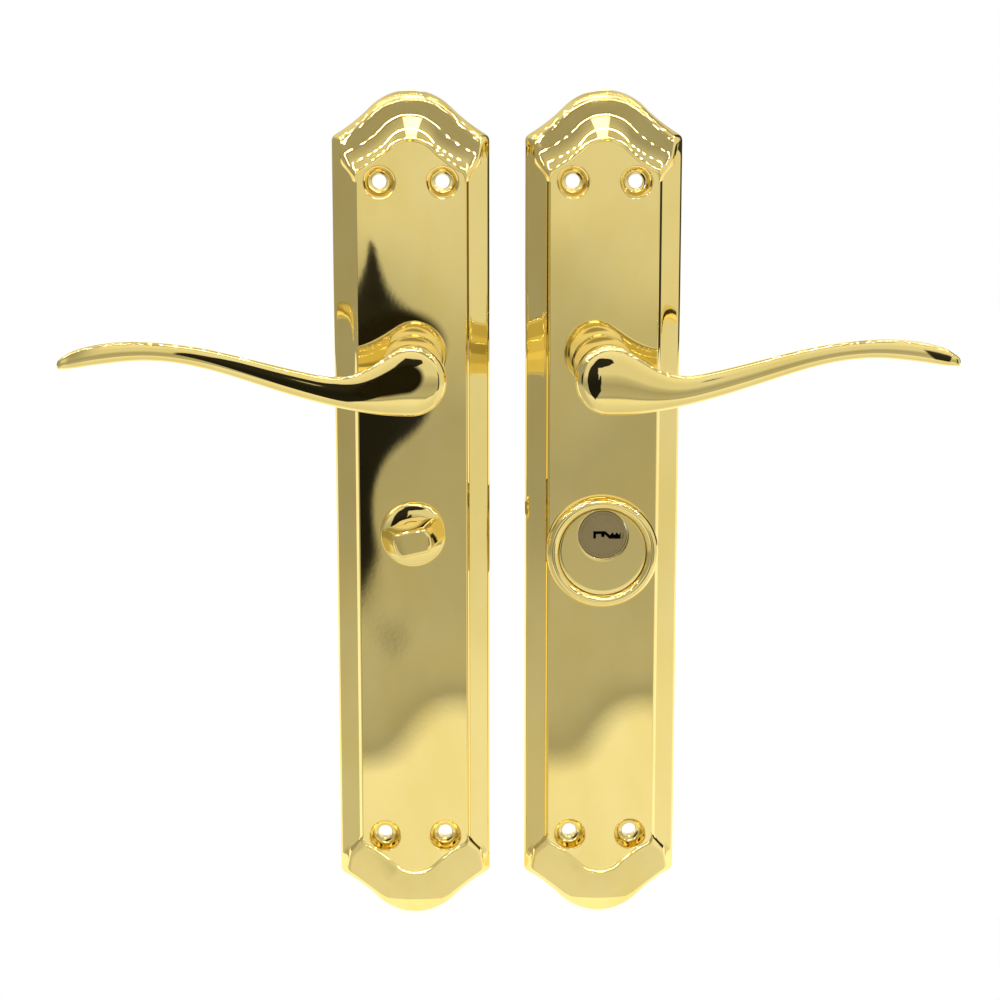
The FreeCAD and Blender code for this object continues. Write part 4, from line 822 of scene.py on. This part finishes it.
def return_path():
    """Leg, bend, coil, bend and leg, as points of across, height and up about the lever's axis."""
    fixed_leg = moving_leg + 2 * math.pi * return_turns
    offset = math.asin(return_bend / (return_radius + return_bend))
    leg_foot = math.sqrt(return_radius**2 + 2 * return_radius * return_bend)

    def at(reach, angle, height):
        return Vector((reach * math.cos(angle), height, reach * math.sin(angle)))

    def leg(angle, turn, height):
        foot = at(leg_foot, angle, height)
        coil_end = at(return_radius, angle + turn * offset, height)
        corner = at(return_radius / math.cos(offset), angle, height)
        shares = [step / bend_steps for step in range(bend_steps + 1)]
        bend = [foot * (1 - t) ** 2 + corner * 2 * t * (1 - t) + coil_end * t * t for t in shares]
        return [at(leg_reach, angle, height), *bend]

    path = leg(moving_leg, 1, return_low)
    for step in range(1, coil_steps):
        share = step / coil_steps
        climbed = min(max((share - level_share) / (1 - 2 * level_share), 0.0), 1.0)
        angle = moving_leg + offset + (fixed_leg - moving_leg - 2 * offset) * share
        path.append(at(return_radius, angle, return_low + (return_top - return_low) * climbed))
    return path + leg(fixed_leg, -1, return_top)[::-1]


def return_spring(name, x, hand):
    """The wire swept along the path. Hand is -1 for the mirror image inside."""
    path = return_path()
    points = []
    for before, middle, after in zip(path[:1] + path, path, path[1:] + path[-1:]):
        along = (after - before).normalized()
        side = along.cross(Vector((0, 1, 0))).normalized()
        over = side.cross(along)
        for step in range(wire_sides):
            turn = 2 * math.pi * step / wire_sides
            spot = middle + (side * math.cos(turn) + over * math.sin(turn)) * return_wire
            points.append((spot.x * hand, spot.y, spot.z))
    faces = row_faces(len(path), wire_sides)
    faces.append(tuple(range(wire_sides)))
    faces.append(tuple(range(len(points) - wire_sides, len(points))))
    made = piece(name, points, faces, x, lever_z)
    creased(made, 50)
    return made


for unit, x, hand in (("outside", 0.0, 1), ("inside", inside_x, -1)):
    return_coil = return_spring("return_spring_" + unit, x, hand)
    dressed(return_coil, "mounted", unit + "_spring", spring_steel)


# The pin springs. Each is a coil of drawn wire with closed ends, pressed between its driver pin and its
# stopper. The node tree sweeps a wire along a spiral whose pitch closes up at both ends. Lengths are metres.
coil_turns, coil_mean, wire_radius = 9.5, 0.00095, 0.00016
coil_low, coil_high = -0.0284, -0.0177
first_chamber, chamber_pitch = 0.0044, 0.004
coil_inputs = {
    "Turns": "NodeSocketFloat", "Mean radius": "NodeSocketFloat", "Height": "NodeSocketFloat",
    "Wire radius": "NodeSocketFloat", "Wire": "NodeSocketMaterial",
}
coil_tree = bpy.data.node_groups.new("wire_coil", "GeometryNodeTree")
coil_sockets = {}
for label, kind in coil_inputs.items():
    socket = coil_tree.interface.new_socket(name=label, in_out="INPUT", socket_type=kind)
    coil_sockets[label] = socket.identifier
coil_tree.interface.new_socket(name="Geometry", in_out="OUTPUT", socket_type="NodeSocketGeometry")


def coil_node(kind, settings, values):
    """A node of the coil's tree with its settings, and the values or links of its sockets."""
    made = coil_tree.nodes.new(kind)
    for key, setting in settings.items():
        setattr(made, key, setting)
    for key, value in values.items():
        if isinstance(value, bpy.types.NodeSocket):
            coil_tree.links.new(value, made.inputs[key])
        else:
            made.inputs[key].default_value = value
    return made


given = coil_node("NodeGroupInput", {}, {}).outputs
spiral = coil_node("GeometryNodeCurveSpiral", {}, {
    "Resolution": 40, "Rotations": given["Turns"], "Start Radius": given["Mean radius"],
    "End Radius": given["Mean radius"], "Height": 1.0,
})
spot = coil_node("ShaderNodeSeparateXYZ", {}, {0: coil_node("GeometryNodeInputPosition", {}, {}).outputs[0]})
pitch = coil_node("ShaderNodeMapRange", {"interpolation_type": "SMOOTHSTEP"}, {
    "Value": spot.outputs["Z"], "From Min": 0.0, "From Max": 1.0, "To Min": 0.0, "To Max": 1.0,
})
evened = coil_node("ShaderNodeMix", {"data_type": "FLOAT"}, {
    "Factor": 0.35, 2: spot.outputs["Z"], 3: pitch.outputs["Result"],
})
lift = coil_node("ShaderNodeMath", {"operation": "MULTIPLY"}, {0: evened.outputs[0], 1: given["Height"]})
lifted = coil_node("ShaderNodeCombineXYZ", {}, {
    "X": spot.outputs["X"], "Y": spot.outputs["Y"], "Z": lift.outputs[0],
})
wound = coil_node("GeometryNodeSetPosition", {}, {
    "Geometry": spiral.outputs[0], "Position": lifted.outputs[0],
})
ring_of_wire = coil_node("GeometryNodeCurvePrimitiveCircle", {"mode": "RADIUS"}, {
    "Resolution": 10, "Radius": given["Wire radius"],
})
swept = coil_node("GeometryNodeCurveToMesh", {}, {
    "Curve": wound.outputs[0], "Profile Curve": ring_of_wire.outputs[0], "Fill Caps": True,
})
solid = coil_node("GeometryNodeRealizeInstances", {}, {"Geometry": swept.outputs[0]})
painted = coil_node("GeometryNodeSetMaterial", {}, {"Geometry": solid.outputs[0], "Material": given["Wire"]})
coil_node("NodeGroupOutput", {}, {"Geometry": painted.outputs[0]})

coil_values = {
    "Turns": coil_turns, "Mean radius": coil_mean, "Height": coil_high - coil_low - 2 * wire_radius,
    "Wire radius": wire_radius, "Wire": spring_steel.material,
}
for number in pin_numbers:
    coil = piece(f"pin_spring_coil_{number}", [], [])
    wind = coil.modifiers.new("wind", "NODES")
    wind.node_group = coil_tree
    for label, value in coil_values.items():
        wind[coil_sockets[label]] = value
    coil = baked(coil)
    door_height = first_chamber - chamber_pitch * (number - 1)
    coil.data.transform(Matrix.Translation((0.0, -door_height, coil_low + wire_radius)))
    dressed(coil, "mounted", f"pin_spring_{number}", spring_steel)


# The studio: a white table whose edge lies just in front of the units, a pale room that is darker low in
# front, and three rows of small lamps above. The rows give the bright dots along the edges. All in metres.
def stage_piece(name, corners, faces, recipe):
    mesh = bpy.data.meshes.new(name)
    mesh.from_pydata(corners, [], faces)
    mesh.materials.append(recipe.material)
    made = bpy.data.objects.new(name, mesh)
    bpy.context.scene.collection.objects.link(made)
    return made


table_up, table_front, table_back, table_half = -0.1503, -0.012, 2.0, 1.6
table_corners = [
    (-table_half, table_front, table_up), (table_half, table_front, table_up),
    (table_half, table_back, table_up), (-table_half, table_back, table_up),
]
paper = Recipe(
    "white_paper", Base_Color=(0.5, 0.5, 0.5, 1.0), Roughness=0.9, Specular_IOR_Level=0.0,
    Emission_Color=(1.0, 1.0, 0.985, 1.0), Emission_Strength=0.72,
)
stage_piece("white_table", table_corners, [(0, 1, 2, 3)], paper)

lamp_pitch, lamp_size, lamp_middle = 0.034, 0.0052, -0.034
lamp_count, lamp_sides = 48, 6
# Place in depth and height of each row.
lamp_rows = [(-0.50, 0.52), (-0.14, 0.62), (-0.75, 0.45)]
lamp_corners, lamp_faces = [], []
for y, z in lamp_rows:
    for step in range(lamp_count):
        x = lamp_middle + lamp_pitch * (step - (lamp_count - 1) / 2)
        start = len(lamp_corners)
        for corner in range(lamp_sides):
            turn = 2 * math.pi * corner / lamp_sides
            lamp_corners.append((x + lamp_size * math.cos(turn), y + lamp_size * math.sin(turn), z))
        lamp_faces.append(tuple(reversed(range(start, start + lamp_sides))))
lamp_glow = Recipe(
    "lamp_glow", Base_Color=(1.0, 1.0, 1.0, 1.0), Roughness=1.0, Emission_Color=(1.0, 0.99, 0.96, 1.0),
    Emission_Strength=220.0,
)
lamps = stage_piece("lamp_rows", lamp_corners, lamp_faces, lamp_glow)
lamps.visible_camera = False

# A small black card with a soft rim, close in front of the inside lever, gives its head the dark reflection.
card_middle = Vector((-0.0742, -0.12, 0.0462))
card_long, card_short, card_lean = 0.022, 0.017, math.radians(24)
card_sides = 32
card_corners = []
for step in range(card_sides):
    turn = 2 * math.pi * step / card_sides
    edge = Vector((card_long * math.cos(turn), 0.0, card_short * math.sin(turn)))
    card_corners.append(card_middle + Matrix.Rotation(-card_lean, 3, "Y") @ edge)
black = Recipe("black_card", Base_Color=(0.02, 0.018, 0.014, 1.0), Roughness=1.0, Specular_IOR_Level=0.0)
evened_out = black.node("ShaderNodeMapping", {"vector_type": "TEXTURE"}, {
    "Vector": black.place, "Location": card_middle, "Rotation": (0.0, -card_lean, 0.0),
    "Scale": (card_long, 1.0, card_short),
})
off_middle = black.node("ShaderNodeVectorMath", {"operation": "LENGTH"}, {0: evened_out}, "Value")
black.feed(Alpha=black.band(off_middle, 0.7, 0.98, 1.0, 0.0))
card = stage_piece("black_card", card_corners, [tuple(range(card_sides))], black)
card.visible_camera = False
card.visible_shadow = False

room = bpy.data.worlds.new("pale_room")
bpy.context.scene.world = room
air = Recipe("pale_room", room, Color=(1.0, 1.0, 1.0, 1.0))
way = air.node("ShaderNodeSeparateXYZ", {}, {"Vector": air.place})
side, back, up = (Signal(air, way.socket.node.outputs[axis]) for axis in "XYZ")


def room_curve(knots, height):
    """A tone that follows knots of height, by its sine, and tone."""
    stops = [((place + 1) / 2, (tone, tone, tone)) for place, tone in knots]
    return air.node("ShaderNodeValToRGB", {"stops": stops}, {"Fac": height * 0.5 + 0.5})


# The front of the room: white below, a dim band, pale, dim, and a bright ceiling.
front_tone = room_curve([
    (-1.0, 0.78), (-0.40, 0.86), (-0.285, 1.0), (-0.277, 0.36), (-0.262, 0.50), (-0.245, 0.52),
    (-0.163, 0.43), (-0.10, 0.60), (-0.066, 0.80), (0.03, 0.80), (0.13, 0.95), (0.21, 0.95), (0.25, 0.40),
    (0.40, 0.36), (0.55, 0.62), (0.80, 0.6), (1.0, 0.6),
], up)
in_front = air.band(back, -0.35, -0.05, 1.0, 0.0)
left = air.band(side, -0.55, -0.30, 1.0, 0.0)
right = air.band(side, 0.58, 0.62)
# A dark strip to the right.
strip = air.band(side, 0.42, 0.44) * air.band(side, 0.54, 0.58, 1.0, 0.0)
strip = strip * air.band(up, -0.31, -0.29) * air.band(up, -0.02, 0.04, 1.0, 0.0)
# The dark corner: how far it reaches to the right at each height, a rounded left side, and a wavering edge.
# The reach is shifted up, because a ramp holds no value below 0.
waver = air.band(air.speckle(9.0, 1.0), 0.3, 0.7, -0.012, 0.012)
reach_shift = 0.2
reach_right = [
    (-1.0, -0.2), (-0.36, -0.2), (-0.33, -0.09), (-0.27, -0.055), (-0.225, -0.026), (-0.085, -0.024),
    (-0.07, -0.05), (-0.016, -0.045), (-0.002, 0.045), (0.015, 0.085), (0.045, 0.08), (0.065, 0.03),
    (0.075, -0.2), (1.0, -0.2),
]
shifted = [(height, reach + reach_shift) for height, reach in reach_right]
right_edge = room_curve(shifted, up + waver) - reach_shift
off_level = up + 0.13
left_edge = off_level * off_level * 2.2 - 0.16
corner = air.band(side + waver - right_edge, -0.005, 0.005, 1.0, 0.0)
corner = corner * air.band(side + waver - left_edge, -0.005, 0.005) * in_front
# A pale gap beside the plate's edge gives the dark reflection above the lever its leaf shape.
gap_place = side - (up * 0.15 - 0.0218)
gap_half = up * 0.16 + 0.02
gap = air.band(gap_place * gap_place - gap_half * gap_half, -0.000004, 0.000004, 1.0, 0.0)
gap = gap * air.band(up, -0.122, -0.114) * air.band(up, -0.05, -0.04, 1.0, 0.0)
corner = corner * (1.0 - gap)
# The tones of the front, the back and both sides, a bright field high up, and last the dark places.
dark_side = air.band(side, 0.6, 0.7) * air.band(back, 0.02, 0.08)
tone = front_tone * in_front + (1.0 - in_front) * air.band(up, 0.2, 0.5, 1.0, 0.62)
left_tone = air.band(up, -0.30, -0.18, 0.62, 0.38) + air.band(up, 0.3, 0.6, 0.0, 0.4)
tone = tone * (1.0 - left) + left * left_tone
right_tone = air.band(up, -0.30, -0.18, 0.95, 0.80)
tone = tone * (1.0 - right) + right * right_tone
bright = air.band(side, -0.13, -0.10) * air.band(side, 0.10, 0.13, 1.0, 0.0)
bright = bright * air.band(up, 0.42, 0.46) * air.band(up, 0.68, 0.72, 1.0, 0.0)
tone = tone + bright * 2.2
tone = tone * (1.0 - corner * 0.97) * (1.0 - dark_side * 0.95) * (1.0 - strip * in_front * 0.95)
# The camera itself sees plain white.
seen = air.node("ShaderNodeLightPath", {}, {}, "Is Camera Ray")
air.feed(Strength=tone * (1.0 - seen) + seen)
bpy.context.scene.view_settings.view_transform = "Standard"
